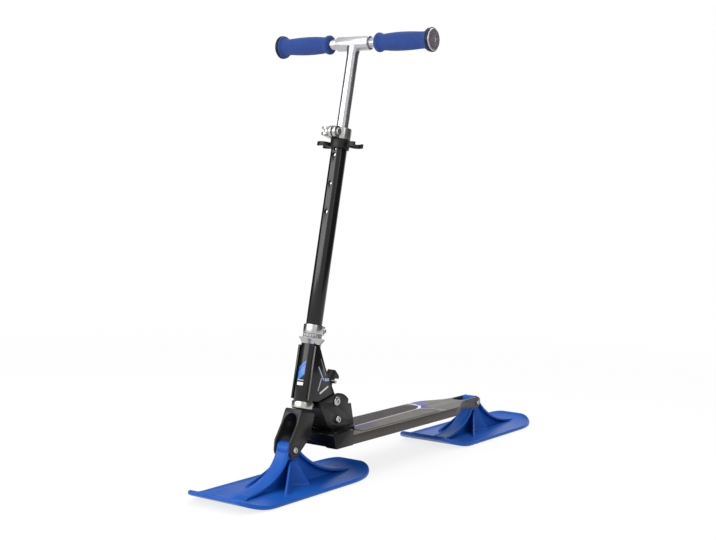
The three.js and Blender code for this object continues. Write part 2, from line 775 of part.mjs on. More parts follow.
// Quick-release clamp: ears in front, the cam lever on the right side
const clampMiddle = (clampBottom + clampTop) / 2;
const earRadius = (clampTop - clampBottom) / 2;
const clampHole = clampBoltRadius + seatGap;
const clamp = cut(
  fuse(
    rod(alongZ, 0, 0, clampRadius, clampBottom, clampTop),
    rod(alongY, clampBoltReach, clampMiddle, earRadius, -clampEarHalfWidth, clampEarHalfWidth),
    block(0, clampBoltReach, -clampEarHalfWidth, clampEarHalfWidth, clampBottom, clampTop),
  ),
  rod(alongZ, 0, 0, gripBore, clampBottom - overrun, clampTop + overrun),
  block(0, clampBoltReach + earRadius + overrun, -slitWidth / 2, slitWidth / 2, clampBottom - overrun, clampTop + overrun),
  rod(alongY, clampBoltReach, clampMiddle, clampHole, -camDistance, camDistance, tinySteps),
);
piece(steer, 'upper_clamp', looks.silver, clamp);
const clampBolt = cut(
  fuse(
    rod(alongY, clampBoltReach, clampMiddle, clampBoltRadius, -camDistance, clampEarHalfWidth + clampNutDepth / 2, tinySteps),
    rod(alongZ, clampBoltReach, -camDistance, camEyeRadius, clampMiddle - camEyeHeight / 2, clampMiddle + camEyeHeight / 2, smallSteps),
  ),
  rod(alongZ, clampBoltReach, -camDistance, camPinRadius + runGap, clampBottom, clampTop, tinySteps),
);
piece(steer, 'clamp_bolt', looks.silver, clampBolt);
const clampNutFace = clampEarHalfWidth + clampNutDepth;
const clampNut = cut(
  turned(alongY, [
    [0, clampEarHalfWidth + seatGap],
    [clampNutRadius, clampEarHalfWidth + seatGap],
    [clampNutRadius, clampNutFace - seatGap * 3],
    [clampNutRadius - seatGap * 3, clampNutFace],
    [0, clampNutFace],
  ], smallSteps).translate(clampBoltReach, 0, clampMiddle),
  rod(alongY, clampBoltReach, clampMiddle, clampHole, 0, clampEarHalfWidth + clampNutDepth / 2 + seatGap, tinySteps),
  rod(alongY, clampBoltReach, clampMiddle, hexSocketRadius, 0, clampNutFace + overrun, 6),
);
piece(steer, 'clamp_nut', looks.silver, clampNut);

// The cam head straddles the eye of the bolt; the arm runs back beside the tube
const leverBottom = clampMiddle - leverHeight / 2;
const leverTop = clampMiddle + leverHeight / 2;
const armOuter = -camDistance - camRadius;
const armInner = armOuter + leverThickness;
const leverArm = outline([
  [clampBoltReach, armInner],
  [clampBoltReach - camRadius * leverBowShares[0], armInner + camRadius * leverBowShares[1]],
  [0, armInner, camRadius],
  [-leverTail, armInner + camRadius * leverBowShares[2], leverTailRadius],
  [-leverTail, armOuter + camRadius * leverBowShares[2], leverTailRadius],
  [0, armOuter, camRadius],
  [clampBoltReach, armOuter],
]);
const eyeSlot = camEyeHeight / 2 + runGap;
const lever = fuse(
  cut(
    fuse(
      rod(alongZ, clampBoltReach, -camDistance, camRadius, leverBottom, leverTop),
      drawOut(alongZ, leverArm, leverBottom, leverTop),
    ),
    block(
      clampBoltReach - camEyeRadius - runGap,
      clampBoltReach + camRadius + overrun,
      armOuter - overrun,
      -camDistance + camRadius + overrun,
      clampMiddle - eyeSlot,
      clampMiddle + eyeSlot,
    ),
  ),
  rod(alongZ, clampBoltReach, -camDistance, camPinRadius, leverBottom, leverTop, tinySteps),
);
piece(steer, 'clamp_lever', looks.silver, lever);

// Clip below the clamp: two open hooks that hold the pulled-out handles
function hook(side) {
  const shape = new THREE.Shape();
  const start = side * turn(hookMouthEnd);
  const end = side * turn(hookMouthStart + 360);
  shape.absarc(0, side * hookDistance, hookRadius, start, end, side < 0);
  shape.absarc(0, side * hookDistance, hookRadius - hookWall, end, start, side > 0);
  shape.closePath();
  return drawOut(alongZ, shape, hookBottom, hookBottom + hookHeight, smallSteps / 2);
}
const clip = cut(
  fuse(rod(alongZ, 0, 0, clipRadius, clipBottom, clipTop), hook(1), hook(-1)),
  rod(alongZ, 0, 0, gripBore, clipBottom - overrun, clipTop + overrun),
);
piece(steer, 'handle_clip', looks.mouldedBlack, clip);

// T stem: tube, cross sleeve and the cone between them
const stemBore = stemRadius - stemWall;
const handleBore = handleRadius + seatGap;
const buttonHoleRadius = handleButtonRadius + seatGap;
const stem = cut(
  fuse(
    rod(alongZ, 0, 0, stemRadius, stemBottom, barStation),
    turned(alongZ, [
      [0, barStation - sleeveRadius - sleeveConeHeight],
      [stemRadius, barStation - sleeveRadius - sleeveConeHeight],
      [sleeveRadius - seatGap, barStation - sleeveRadius / 2],
      [0, barStation - sleeveRadius / 2],
    ]),
    moved(turned(alongY, [
      [0, -sleeveHalfLength],
      [sleeveRadius - sleeveChamfer, -sleeveHalfLength],
      [sleeveRadius, -sleeveHalfLength + sleeveChamfer],
      [sleeveRadius, sleeveHalfLength - sleeveChamfer],
      [sleeveRadius - sleeveChamfer, sleeveHalfLength],
      [0, sleeveHalfLength],
    ]), 0, 0, barStation),
  ),
  rod(alongZ, 0, 0, stemBore, stemBottom - overrun, barStation),
  rod(alongY, 0, barStation, handleBore, -sleeveHalfLength - overrun, sleeveHalfLength + overrun),
  rod(alongX, 0, topHoleStation, heightButtonRadius + seatGap, 0, stemRadius + overrun, smallSteps),
  rod(alongX, handleButtonPlace, barStation, buttonHoleRadius, -sleeveRadius - overrun, 0, tinySteps),
  rod(alongX, -handleButtonPlace, barStation, buttonHoleRadius, -sleeveRadius - overrun, 0, tinySteps),
);
piece(steer, 't_stem', looks.satinAluminium, stem);
const guide = sleeve(
  alongZ,
  0,
  0,
  tubeBore - runGap,
  stemRadius + seatGap,
  stemBottom,
  stemBottom + guideHeight,
);
piece(steer, 'stem_guide', looks.whiteNylon, guide);
const heightButton = rod(
  alongX,
  0,
  topHoleStation,
  heightButtonRadius,
  stemRadius - heightButtonInset - heightButtonLength,
  stemRadius - heightButtonInset,
  smallSteps,
);
piece(steer, 'height_button', looks.silver, heightButton);

// Handles: tube, foam grip, black rim and domed cap, one set on each side
for (const [side, name] of [[1, 'left'], [-1, 'right']]) {
  const gripEnd = gripStart + gripLength;
  const rimStart = gripEnd + seatGap;
  const capStart = rimStart + rimPlate + seatGap;
  const [tubeIn, tubeOut] = [side * handleInnerEnd, side * (rimStart + rimPlate)].sort((a, b) => a - b);
  const handle = cut(
    sleeve(alongY, 0, barStation, handleRadius, handleRadius - handleWall, tubeIn, tubeOut),
    rod(alongX, side * handleButtonPlace, barStation, buttonHoleRadius, -handleRadius - overrun, 0, tinySteps),
  );
  piece(steer, `handle_tube_${name}`, looks.satinAluminium, handle);

  const at = gripStationShares.map((share) => side * (gripStart + share * gripLength));
  const grip = turned(alongY, [
    [handleBore, side * gripStart],
    [gripBeadRadius - stemWall, side * gripStart],
    [gripBeadRadius, at[0]],
    [gripBeadRadius, at[1]],
    [gripNeckRadius, at[2]],
    [gripBarrelRadius, at[3]],
    [gripBarrelRadius, at[4]],
    [gripNeckRadius, at[5]],
    [gripNeckRadius + stemWall, at[6]],
    [gripNeckRadius + stemWall, at[7]],
    [gripFlangeRadius, at[8]],
    [gripFlangeRadius, side * gripEnd],
    [handleBore, side * gripEnd],
  ]);
  piece(steer, `grip_${name}`, looks.blueFoam, moved(grip, 0, 0, barStation));

  const rim = turned(alongY, [
    [handleBore, side * rimStart],
    [rimRadius - seatGap * 3, side * rimStart],
    [rimRadius, side * (rimStart + rimPlate)],
    [rimRadius, side * (rimStart + rimDepth - rimPlate)],
    [rimRadius - rimPlate, side * (rimStart + rimDepth)],
    [capRadius + seatGap, side * (rimStart + rimDepth)],
    [capRadius + seatGap, side * (rimStart + rimPlate)],
    [handleBore, side * (rimStart + rimPlate)],
  ]);
  piece(steer, `grip_rim_${name}`, looks.mouldedBlack, moved(rim, 0, 0, barStation));

  const capFace = capStart + capDepth;
  const cap = turned(alongY, [
    [0, side * (capStart - capShankLength)],
    [capShankRadius, side * (capStart - capShankLength)],
    [capShankRadius, side * capStart],
    [capRadius, side * capStart],
    [capRadius, side * (capFace - capDome)],
    [capRadius * 0.78, side * (capFace - capDome * 0.35)],
    [capRadius * 0.45, side * capFace],
    [capDimpleRadius, side * capFace],
    [capDimpleRadius, side * (capFace - capDome / 2)],
    [0, side * (capFace - capDome / 2)],
  ], roundSteps - cornerSteps);
  piece(steer, `end_cap_${name}`, looks.silver, moved(cap, 0, 0, barStation));

  const buttonFace = handleRadius - handleButtonInset;
  const button = rod(
    alongX,
    side * handleButtonPlace,
    barStation,
    handleButtonRadius,
    -buttonFace,
    -buttonFace + handleButtonLength,
    tinySteps,
  );
  piece(steer, `handle_button_${name}`, looks.silver, button);
}

// Head tube with its welded yoke, made in the ground frame because the fold lies there
const fold = [foldX, foldZ];
const lobe = yokeLobeAngles.map((angle) => fromFold(yokeLobeRadius, angle));
const yokeRear = yokeRearShares.map(([a, b]) => steerPoint(a * yokeFront, b * yokeTop));
const yokeSide = outline([
  steerPoint(yokeFront, yokeTop),
  yokeRear[0],
  [...yokeRear[1], overrun],
  ...lobe,
  [foldX - yokeEndRadius, foldZ],
  [foldX, foldZ - yokeEndRadius],
  fromFold(yokeFingerRadius, yokeFingerAngle),
  steerPoint(yokeThroatShares[0] * yokeFront, yokeThroatShares[1] * yokeBottom),
  steerPoint(yokeFront, yokeBottom),
]);
const slotHalf = stopSpacerRadius + 2 * runGap;
const stopSlot = new THREE.Shape();
stopSlot.absarc(...fold, stopRadius + slotHalf, turn(slotEndAngle), turn(stopAngle), false);
stopSlot.absarc(...fold, stopRadius - slotHalf, turn(stopAngle), turn(slotEndAngle), true);
stopSlot.closePath();
const yokeGap = yokeHalfWidth - yokeSheet;
const [pinX, pinZ] = [foldX + leverPinAhead, foldZ + leverPinAbove];
const [rearTop, rearLow] = yokeRearShares.map(([a, b]) => [a * yokeFront, b * yokeTop]);
const yokeBack = outline([
  steerPoint(...rearTop),
  steerPoint(...rearLow),
  steerPoint(rearLow[0] + yokeWeb, rearLow[1]),
  steerPoint(rearTop[0] + yokeWeb, rearTop[1]),
]);
const yokePlates = cut(
  fuse(
    drawOut(alongY, yokeSide, -yokeHalfWidth, yokeHalfWidth),
    rod(alongY, ...fold, yokeEndRadius, -yokeHalfWidth, yokeHalfWidth),
  ),
  drawOut(alongY, stopSlot, -bracketHalfWidth, bracketHalfWidth, bendSteps),
  rod(alongY, stopX, stopZ, slotHalf, -bracketHalfWidth, bracketHalfWidth, smallSteps),
  block(foldX - 2 * yokeLobeRadius, steerOffset, -yokeGap, yokeGap, 0, 2 * yokeTop),
);
const headTube = cut(
  fuse(
    yokePlates,
    drawOut(alongY, yokeBack, -yokeHalfWidth + seatGap, yokeHalfWidth - seatGap),
    rod(alongY, ...fold, yokeBarrelRadius, -yokeHalfWidth + seatGap, yokeHalfWidth - seatGap),
    inGround(rod(alongZ, 0, 0, headRadius, headBottom, headTop)),
  ),
  inGround(rod(alongZ, 0, 0, headBore, headBottom - overrun, headTop + overrun)),
  rod(alongY, ...fold, pivotBoltRadius + runGap, -bracketHalfWidth, bracketHalfWidth, smallSteps),
  rod(alongY, pinX, pinZ, leverPinRadius + seatGap, -bracketHalfWidth, bracketHalfWidth, tinySteps),
);
piece(ground, 'head_tube', looks.glossBlack, headTube);
const leverPin = rod(alongY, pinX, pinZ, leverPinRadius, -yokeHalfWidth, yokeHalfWidth, tinySteps);
piece(ground, 'lever_pin', looks.silver, leverPin);

// Release lever: a hub on the pin, a hook ahead of the stop bolt and a thumb tab behind
const atPin = ([a, b]) => [pinX + a * releaseHubRadius, pinZ + b * releaseHubRadius, releaseEdgeRadius];
const releaseLever = cut(
  fuse(
    rod(alongY, pinX, pinZ, releaseHubRadius, -releaseHalfWidth, releaseHalfWidth, smallSteps),
    drawOut(alongY, outline(hookArmShares.map(atPin)), -releaseHalfWidth, releaseHalfWidth),
    drawOut(alongY, outline(thumbShares.map(atPin)), -releaseHalfWidth, releaseHalfWidth),
  ),
  rod(alongY, pinX, pinZ, leverPinRadius + runGap, -bracketHalfWidth, bracketHalfWidth, tinySteps),
);
piece(ground, 'release_lever', looks.mouldedBlack, releaseLever);

// Deck: straight sides that curve in to two arms, seen from above and from the side
const deckTop = axleHeight + deckTopAboveAxle;
const deckBottom = deckTop - deckHeight;
const deckTail = pivotDistance + deckArmTipRadius;
function deckPlan(inset, front, tail) {
  const side = deckHalfWidth - inset;
  const arm = deckArmHalfWidth - inset;
  const bend = deckArmStart - deckStraightEnd;
  const first = -deckStraightEnd - deckCurveShares[0] * bend;
  const second = -deckArmStart + deckCurveShares[1] * bend;
  const shape = new THREE.Shape();
  shape.moveTo(-front, -side);
  shape.lineTo(-front, side);
  shape.lineTo(-deckStraightEnd, side);
  shape.bezierCurveTo(first, side, second, arm, -deckArmStart, arm);
  shape.lineTo(-tail, arm);
  shape.lineTo(-tail, -arm);
  shape.lineTo(-deckArmStart, -arm);
  shape.bezierCurveTo(second, -arm, first, -side, -deckStraightEnd, -side);
  shape.closePath();
  return shape;
}
const deckSide = outline([
  [-deckFront, deckBottom],
  [-deckFront, deckTop],
  [-pivotDistance, deckTop],
  [-pivotDistance, axleHeight - deckArmTipRadius],
  [-armSlotStart, deckBottom],
]);
const deckProfile = fuse(
  drawOut(alongY, deckSide, -deckHalfWidth, deckHalfWidth),
  rod(alongY, -pivotDistance, axleHeight, deckArmTipRadius, -deckHalfWidth, deckHalfWidth),
);
const slotEnd = -deckTail - overrun;
const armSlot = outline([
  [slotEnd, -armSlotHalfWidth],
  [-armSlotStart, -armSlotHalfWidth, armSlotHalfWidth],
  [-armSlotStart, armSlotHalfWidth, armSlotHalfWidth],
  [slotEnd, armSlotHalfWidth],
]);
const pocket = cut(
  common(
    drawOut(alongZ, deckPlan(deckWall, deckFront - overrun, deckTail), 0, deckTop - deckSkin, bendSteps),
    block(-deckPocketEnd, 0, -deckHalfWidth, deckHalfWidth, 0, deckTop),
  ),
  block(-deckTail, 0, deckRibPlace - deckRibThickness / 2, deckRibPlace + deckRibThickness / 2, 0, deckTop),
  block(-deckTail, 0, -deckRibPlace - deckRibThickness / 2, -deckRibPlace + deckRibThickness / 2, 0, deckTop),
);
const screwX = foldX - bracketScrewPlace;
const screwHoles = [-1, 1].map((side) => rod(
  alongZ,
  screwX,
  side * bracketScrewSpread,
  bracketScrewRadius + seatGap,
  0,
  foldHeight,
  tinySteps,
));
const deck = cut(
  common(deckProfile, drawOut(alongZ, deckPlan(0, deckFront, deckTail), 0, deckTop + overrun, bendSteps)),
  drawOut(alongZ, armSlot, 0, deckTop + overrun, bendSteps),
  pocket,
  rod(alongY, -pivotDistance, axleHeight, axleRadius + seatGap, -deckHalfWidth, deckHalfWidth, smallSteps),
  ...screwHoles,
);
piece(ground, 'deck', looks.deckGrey, deck);

const tapeBack = -tapeEnd + tapeEndBow;
const tapePlan = new THREE.Shape();
tapePlan.moveTo(-tapeStart, -tapeHalfWidth + tapeCornerRadius);
tapePlan.lineTo(-tapeStart, tapeHalfWidth - tapeCornerRadius);
tapePlan.quadraticCurveTo(-tapeStart, tapeHalfWidth, -tapeStart - tapeCornerRadius, tapeHalfWidth);
tapePlan.lineTo(tapeBack, tapeHalfWidth);
tapePlan.quadraticCurveTo(-tapeEnd - tapeEndBow, 0, tapeBack, -tapeHalfWidth);
tapePlan.lineTo(-tapeStart - tapeCornerRadius, -tapeHalfWidth);
tapePlan.quadraticCurveTo(-tapeStart, -tapeHalfWidth, -tapeStart, -tapeHalfWidth + tapeCornerRadius);
const tapeBottom = deckTop + seatGap;
const tape = drawOut(alongZ, tapePlan, tapeBottom, tapeBottom + tapeThickness, bendSteps * 2);
piece(ground, 'grip_tape', looks.gritBlack, tape);

// Nose block: slanted front, stepped down over the deck to a pedestal for the bracket
const noseTop = deckTop + noseTopAboveDeck;
const noseBack = -deckFront + seatGap;
const noseBottom = deckBottom - seatGap * 3;
const noseSide = outline([
  [noseBack, noseBottom],
  [-noseBottomFront, noseBottom, noseEdgeRadius],
  [-noseTopFront, noseTop, noseEdgeRadius],
  [noseBack, noseTop],
]);
const noseRise = outline([
  [-noseRiseWidth / 2 - noseRiseHeight * 4, noseBottom - overrun],
  [noseRiseWidth / 2 + noseRiseHeight * 4, noseBottom - overrun],
  [noseRiseWidth / 2, noseBottom + noseRiseHeight],
  [-noseRiseWidth / 2, noseBottom + noseRiseHeight],
]);
const nose = cut(
  fuse(
    drawOut(alongY, noseSide, -deckHalfWidth, deckHalfWidth),
    block(
      -nosePedestalEnd,
      noseBack - overrun,
      -nosePedestalHalfWidth,
      nosePedestalHalfWidth,
      deckTop + seatGap,
      noseTop,
    ),
    block(noseBack - overrun, noseBack + overrun, -nosePedestalHalfWidth, nosePedestalHalfWidth, deckTop + seatGap, noseTop),
  ),
  drawOut(alongX, noseRise, -nosePedestalEnd, 0),
  ...screwHoles,
);
piece(ground, 'deck_nose', looks.glossBlack, nose);

// Bracket: two cheeks, joined by a floor and by a web along their front edge
const arc = bracketArcRadius;
const atFold = ([a, b]) => [foldX + a * arc, foldZ + b * arc];
const bracketBottom = noseTop + seatGap;
const bracketFloorTop = bracketBottom + bracketFloor;
const [rearUpper, rearLower] = bracketRearShares.map(atFold);
const cheek = new THREE.Shape();
cheek.moveTo(rearLower[0], bracketBottom);
cheek.lineTo(foldX + bracketBaseFrontShare * arc, bracketBottom);
cheek.lineTo(...atFold(bracketFrontShares[2]));
cheek.lineTo(...atFold(bracketFrontShares[1]));
cheek.lineTo(...atFold(bracketFrontShares[0]));
cheek.lineTo(foldX, foldZ + arc);
cheek.absarc(foldX, foldZ, arc, turn(bracketArcEnd), turn(bracketArcStart), false);
cheek.lineTo(...atFold(bracketNotchShares[0]));
cheek.lineTo(...atFold(bracketNotchShares[1]));
cheek.lineTo(...rearUpper);
cheek.closePath();
const bracketGap = bracketHalfWidth - bracketSheet;
const webSection = outline([
  atFold(bracketFrontShares[1]),
  atFold(bracketWebInnerShares[0]),
  atFold(bracketWebInnerShares[1]),
  [foldX + bracketWebFootShare * arc, bracketBottom],
  [foldX + bracketBaseFrontShare * arc, bracketBottom],
  atFold(bracketFrontShares[2]),
]);
const bracket = cut(
  fuse(
    cut(
      drawOut(alongY, cheek, -bracketHalfWidth, bracketHalfWidth, bendSteps / 2),
      block(foldX - 2 * arc, foldX + 2 * arc, -bracketGap, bracketGap, bracketFloorTop, foldZ + 2 * arc),
    ),
    drawOut(alongY, webSection, -bracketGap - seatGap, bracketGap + seatGap),
  ),
  rod(alongY, ...fold, pivotBoltRadius + seatGap, -2 * arc, 2 * arc, smallSteps),
  rod(alongY, stopX, stopZ, stopBoltRadius + seatGap, -2 * arc, 2 * arc, smallSteps),
  ...screwHoles,
);
piece(ground, 'deck_bracket', looks.glossBlack, bracket);
for (const [side, name] of [[1, 'left'], [-1, 'right']]) {
  const headSeat = bracketFloorTop + seatGap;
  const screw = cut(
    fuse(
      rod(alongZ, screwX, side * bracketScrewSpread, bracketScrewRadius, headSeat - bracketScrewLength, headSeat + bracketScrewHeadDepth / 2, tinySteps),
      rod(alongZ, screwX, side * bracketScrewSpread, bracketScrewHeadRadius, headSeat, headSeat + bracketScrewHeadDepth, smallSteps),
    ),
    rod(alongZ, screwX, side * bracketScrewSpread, hexSocketRadius, headSeat + bracketScrewHeadDepth / 2, foldZ, 6),
  );
  piece(ground, `bracket_screw_${name}`, looks.silver, screw);
}

// Bolts of the bracket
const boltTail = bracketHalfWidth + seatGap;
const pivotBolt = boltAcross(
  ...fold,
  pivotBoltRadius,
  pivotHeadRadius,
  pivotHeadDepth,
  bracketHalfWidth,
  -boltTail - pivotNutDepth,
);
piece(ground, 'fold_pivot_bolt', looks.silver, pivotBolt);
piece(ground, 'fold_pivot_nut', looks.silver, nutAcross(...fold, pivotBoltRadius, stopHeadRadius, bracketHalfWidth, pivotNutDepth));
const stopBolt = boltAcross(
  stopX,
  stopZ,
  stopBoltRadius,
  stopHeadRadius,
  stopHeadDepth,
  bracketHalfWidth,
  -boltTail - pivotNutDepth,
);
piece(ground, 'stop_bolt', looks.silver, stopBolt);
piece(ground, 'stop_nut', looks.silver, nutAcross(stopX, stopZ, stopBoltRadius, stopHeadRadius, bracketHalfWidth, pivotNutDepth));
const spacerHalf = bracketGap - seatGap;
const stopSpacer = sleeve(alongY, stopX, stopZ, stopSpacerRadius, stopBoltRadius + seatGap, -spacerHalf, spacerHalf, smallSteps);
piece(ground, 'stop_spacer', looks.greyNut, stopSpacer);

export default scooter;
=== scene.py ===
import json
import math

import bmesh
import bpy
from mathutils import Matrix, Vector
from mathutils.geometry import interpolate_bezier

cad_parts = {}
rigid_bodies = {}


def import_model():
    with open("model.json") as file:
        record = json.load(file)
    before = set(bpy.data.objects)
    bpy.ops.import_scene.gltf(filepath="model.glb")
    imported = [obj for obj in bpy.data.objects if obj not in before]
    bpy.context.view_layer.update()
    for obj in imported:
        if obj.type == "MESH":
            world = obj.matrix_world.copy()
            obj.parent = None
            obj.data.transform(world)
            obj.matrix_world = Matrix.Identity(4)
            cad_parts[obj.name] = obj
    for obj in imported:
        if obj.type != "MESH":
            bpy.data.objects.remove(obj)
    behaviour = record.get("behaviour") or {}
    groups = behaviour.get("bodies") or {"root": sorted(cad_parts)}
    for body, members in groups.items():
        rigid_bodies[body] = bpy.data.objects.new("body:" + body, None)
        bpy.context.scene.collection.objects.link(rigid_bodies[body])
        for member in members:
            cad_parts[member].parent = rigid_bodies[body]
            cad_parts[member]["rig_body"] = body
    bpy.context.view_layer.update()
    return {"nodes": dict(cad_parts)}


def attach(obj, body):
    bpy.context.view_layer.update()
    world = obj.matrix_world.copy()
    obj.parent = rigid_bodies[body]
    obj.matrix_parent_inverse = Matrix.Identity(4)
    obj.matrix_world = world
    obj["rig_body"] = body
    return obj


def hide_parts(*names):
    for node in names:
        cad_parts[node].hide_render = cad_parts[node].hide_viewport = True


# A folding snow scooter on two pitching skis. Shapes are drawn in millimetres in the frame
# of what carries them, and put into the model's frame in metres when they are finished.
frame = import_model()
cad_nodes = frame["nodes"]

METRE = 0.001
FULL_TURN = 2 * math.pi

# Frames of the scooter: the ground below each axle, and the steering axis
AXLE_HEIGHT = 69
HALF_WHEELBASE = 332.5
STEER_OFFSET = 28
RAKE = math.radians(11.5)
FRONT_GROUND = Matrix.Translation((HALF_WHEELBASE, 0, 0))
REAR_GROUND = Matrix.Translation((-HALF_WHEELBASE, 0, 0))
DECK_TOP = 12
STEERING_FOOT = Matrix.Translation((HALF_WHEELBASE - STEER_OFFSET, 0, AXLE_HEIGHT))
STEERING = STEERING_FOOT @ Matrix.Rotation(-RAKE, 4, "Y")


# Camera

CAMERA_PLACE = (2.0465, 1.32076, 0.53831)
AZIMUTH, PITCH, ROLL = 124.48, 3.86, 1.517
SENSOR_WIDTH = 36
PHOTO_WIDTH = 716
FOCAL_PIXELS = 1225.6


def aim_camera():
    """The photograph's viewpoint: in front of the scooter, on its left, a little above the deck."""
    azimuth, pitch, roll = (math.radians(angle) for angle in (AZIMUTH, PITCH, ROLL))
    place = Vector(CAMERA_PLACE)
    outward = Vector((math.sin(azimuth), -math.cos(azimuth), 0))
    back = outward * math.cos(pitch) + Vector((0, 0, math.sin(pitch)))
    level = Vector((math.cos(azimuth), math.sin(azimuth), 0))
    upright = back.cross(level)
    right = level * math.cos(roll) + upright * math.sin(roll)
    up = upright * math.cos(roll) - level * math.sin(roll)
    camera = bpy.data.objects.new("camera", bpy.data.cameras.new("camera"))
    bpy.context.scene.collection.objects.link(camera)
    camera.matrix_world = Matrix.Translation(place) @ Matrix((right, up, back)).transposed().to_4x4()
    camera.data.sensor_width = SENSOR_WIDTH
    camera.data.lens = FOCAL_PIXELS * SENSOR_WIDTH / PHOTO_WIDTH
    camera.data.clip_start = 0.05
    camera.data.clip_end = 60
    bpy.context.scene.camera = camera


# Materials

class Flow:
    """A value that flows through a material's nodes, with ordinary arithmetic."""

    def __init__(self, finish, socket):
        self.finish = finish
        self.socket = socket

    def _maths(self, operation, *values):
        return self.finish.node("ShaderNodeMath", {"operation": operation}, list(values))

    def __add__(self, other):
        return self._maths("ADD", self, other)

    def __radd__(self, other):
        return self._maths("ADD", other, self)

    def __sub__(self, other):
        return self._maths("SUBTRACT", self, other)

    def __rsub__(self, other):
        return self._maths("SUBTRACT", other, self)

    def __mul__(self, other):
        return self._maths("MULTIPLY", self, other)

    def __rmul__(self, other):
        return self._maths("MULTIPLY", other, self)

    def __abs__(self):
        return self._maths("ABSOLUTE", self)

    def __gt__(self, other):
        return self._maths("GREATER_THAN", self, other)

    def __lt__(self, other):
        return self._maths("LESS_THAN", self, other)

    def below(self, edge, soft):
        """1 well below an edge and 0 well above it, turning over a soft width."""
        ramp = {"interpolation_type": "SMOOTHSTEP", "clamp": True}
        return self.finish.node("ShaderNodeMapRange", ramp, [self, edge - soft, edge + soft, 1.0, 0.0])

    def least(self, other):
        return self._maths("MINIMUM", self, other)

    def most(self, other):
        return self._maths("MAXIMUM", self, other)

    def root(self):
        return self._maths("SQRT", self)

    def sine(self):
        return self._maths("SINE", self)

    def turn_from(self, other):
        """The angle of a point from its second and its first number."""
        return self._maths("ARCTAN2", self, other)


class Finish:
    """A procedural material on the principled shader."""

    def __init__(self, name, **fixed):
        self.material = bpy.data.materials.new(name)
        self.material.use_nodes = True
        self.tree = self.material.node_tree
        self.shader = self.tree.nodes["Principled BSDF"]
        for socket, value in fixed.items():
            self.shader.inputs[socket.replace("_", " ").title().replace("Ior", "IOR")].default_value = value

    @classmethod
    def over(cls, tree):
        """The same node tools for a tree that isn't a material's."""
        finish = cls.__new__(cls)
        finish.tree = tree
        return finish

    def node(self, kind, settings=None, sockets=(), output=0):
        """Adds a node: its settings first, then the values or links of its sockets. Gives one output."""
        made = self.tree.nodes.new(kind)
        for key, value in (settings or {}).items():
            setattr(made, key, value)
        pairs = sockets.items() if isinstance(sockets, dict) else enumerate(sockets)
        for key, value in pairs:
            self.plug(made.inputs[key], value)
        return Flow(self, made.outputs[output])

    def plug(self, socket, value):
        if isinstance(value, Flow):
            self.tree.links.new(value.socket, socket)
        else:
            socket.default_value = value

    def feed(self, **flows):
        """Sends flows to the shader's sockets."""
        for socket, value in flows.items():
            self.plug(self.shader.inputs[socket.replace("_", " ").title()], value)

    def spot(self, place=Matrix.Identity(4), stretch=(1, 1, 1)):
        """The point on the surface, in metres in a given frame, stretched for grain that runs one way."""
        point = self.node("ShaderNodeTexCoord", output="Object")
        origin = place.to_translation() * METRE
        return self.node(
            "ShaderNodeMapping",
            {"vector_type": "TEXTURE"},
            {"Vector": point, "Location": origin, "Rotation": place.to_euler(), "Scale": stretch},
        )

    def axes(self, point):
        """The three numbers of a point."""
        return [self.node("ShaderNodeSeparateXYZ", sockets=[point], output=i) for i in range(3)]

    def noise(self, point, scale, detail=3.0, rough=0.55):
        sockets = {"Vector": point, "Scale": scale, "Detail": detail, "Roughness": rough}
        return self.node("ShaderNodeTexNoise", None, sockets)

    def cells(self, point, scale):
        return self.node("ShaderNodeTexVoronoi", {"feature": "F1"}, {"Vector": point, "Scale": scale})

    def blend(self, share, first, second):
        """A colour between two, by a share."""
        sockets = {0: share, 6: first, 7: second}
        return self.node("ShaderNodeMix", {"data_type": "RGBA"}, sockets, output=2)

    def bump(self, height, depth, strength=1.0):
        """Feeds a height to the normal, depth in metres."""
        sockets = {"Height": height, "Distance": depth, "Strength": strength}
        self.feed(normal=self.node("ShaderNodeBump", None, sockets))

    def between(self, share, low, high):
        return share * (high - low) + low


def paint(red, green, blue):
    """A colour as a screen shows it, 0 to 255, made linear."""
    linear = []
    for value in (red, green, blue):
        share = value / 255
        linear.append(share / 12.92 if share < 0.04045 else ((share + 0.055) / 1.055) ** 2.4)
    return (*linear, 1.0)


def brushed_metal(name, light, dark, rough, grain):
    """Satin metal with fine lines along one direction of the steering frame, and faint handling marks."""
    finish = Finish(name, metallic=1.0)
    lines = finish.noise(finish.spot(STEERING, grain), 900.0, 4.0, 0.7)
    clouds = finish.noise(finish.spot(STEERING), 38.0, 3.0)
    marks = finish.noise(finish.spot(STEERING), 310.0, 2.0).below(0.34, 0.04)
    tone = lines * 0.5 + clouds * 0.4 - marks * 0.1
    finish.feed(
        base_color=finish.blend(tone, dark, light),
        roughness=finish.between(lines * 0.5 + clouds * 0.5, rough - 0.07, rough + 0.09) + marks * 0.08,
    )
    finish.bump(lines, 0.00004, 0.35)
    return finish.material


def powder_coat(name, colour, scuffed, rough, coat, texture=0.00006, shine=0.22):
    """Sprayed paint: a faint orange peel, with dust and rubbed places scattered by noise."""
    finish = Finish(name, coat_weight=coat, coat_roughness=0.12, specular_ior_level=shine)
    point = finish.spot()
    peel = finish.noise(point, 420.0, 2.0, 0.5)
    clouds = finish.noise(point, 26.0, 4.0)
    rubs = finish.noise(finish.spot(stretch=(1, 1, 0.2)), 160.0, 5.0, 0.7).below(0.33, 0.05) * clouds
    finish.feed(
        base_color=finish.blend((clouds * 0.5 + rubs * 0.6).least(1.0), colour, scuffed),
        roughness=finish.between(clouds, rough - 0.05, rough + 0.07) + rubs * 0.12,
    )
    finish.bump(peel, texture, 0.5)
    return finish.material


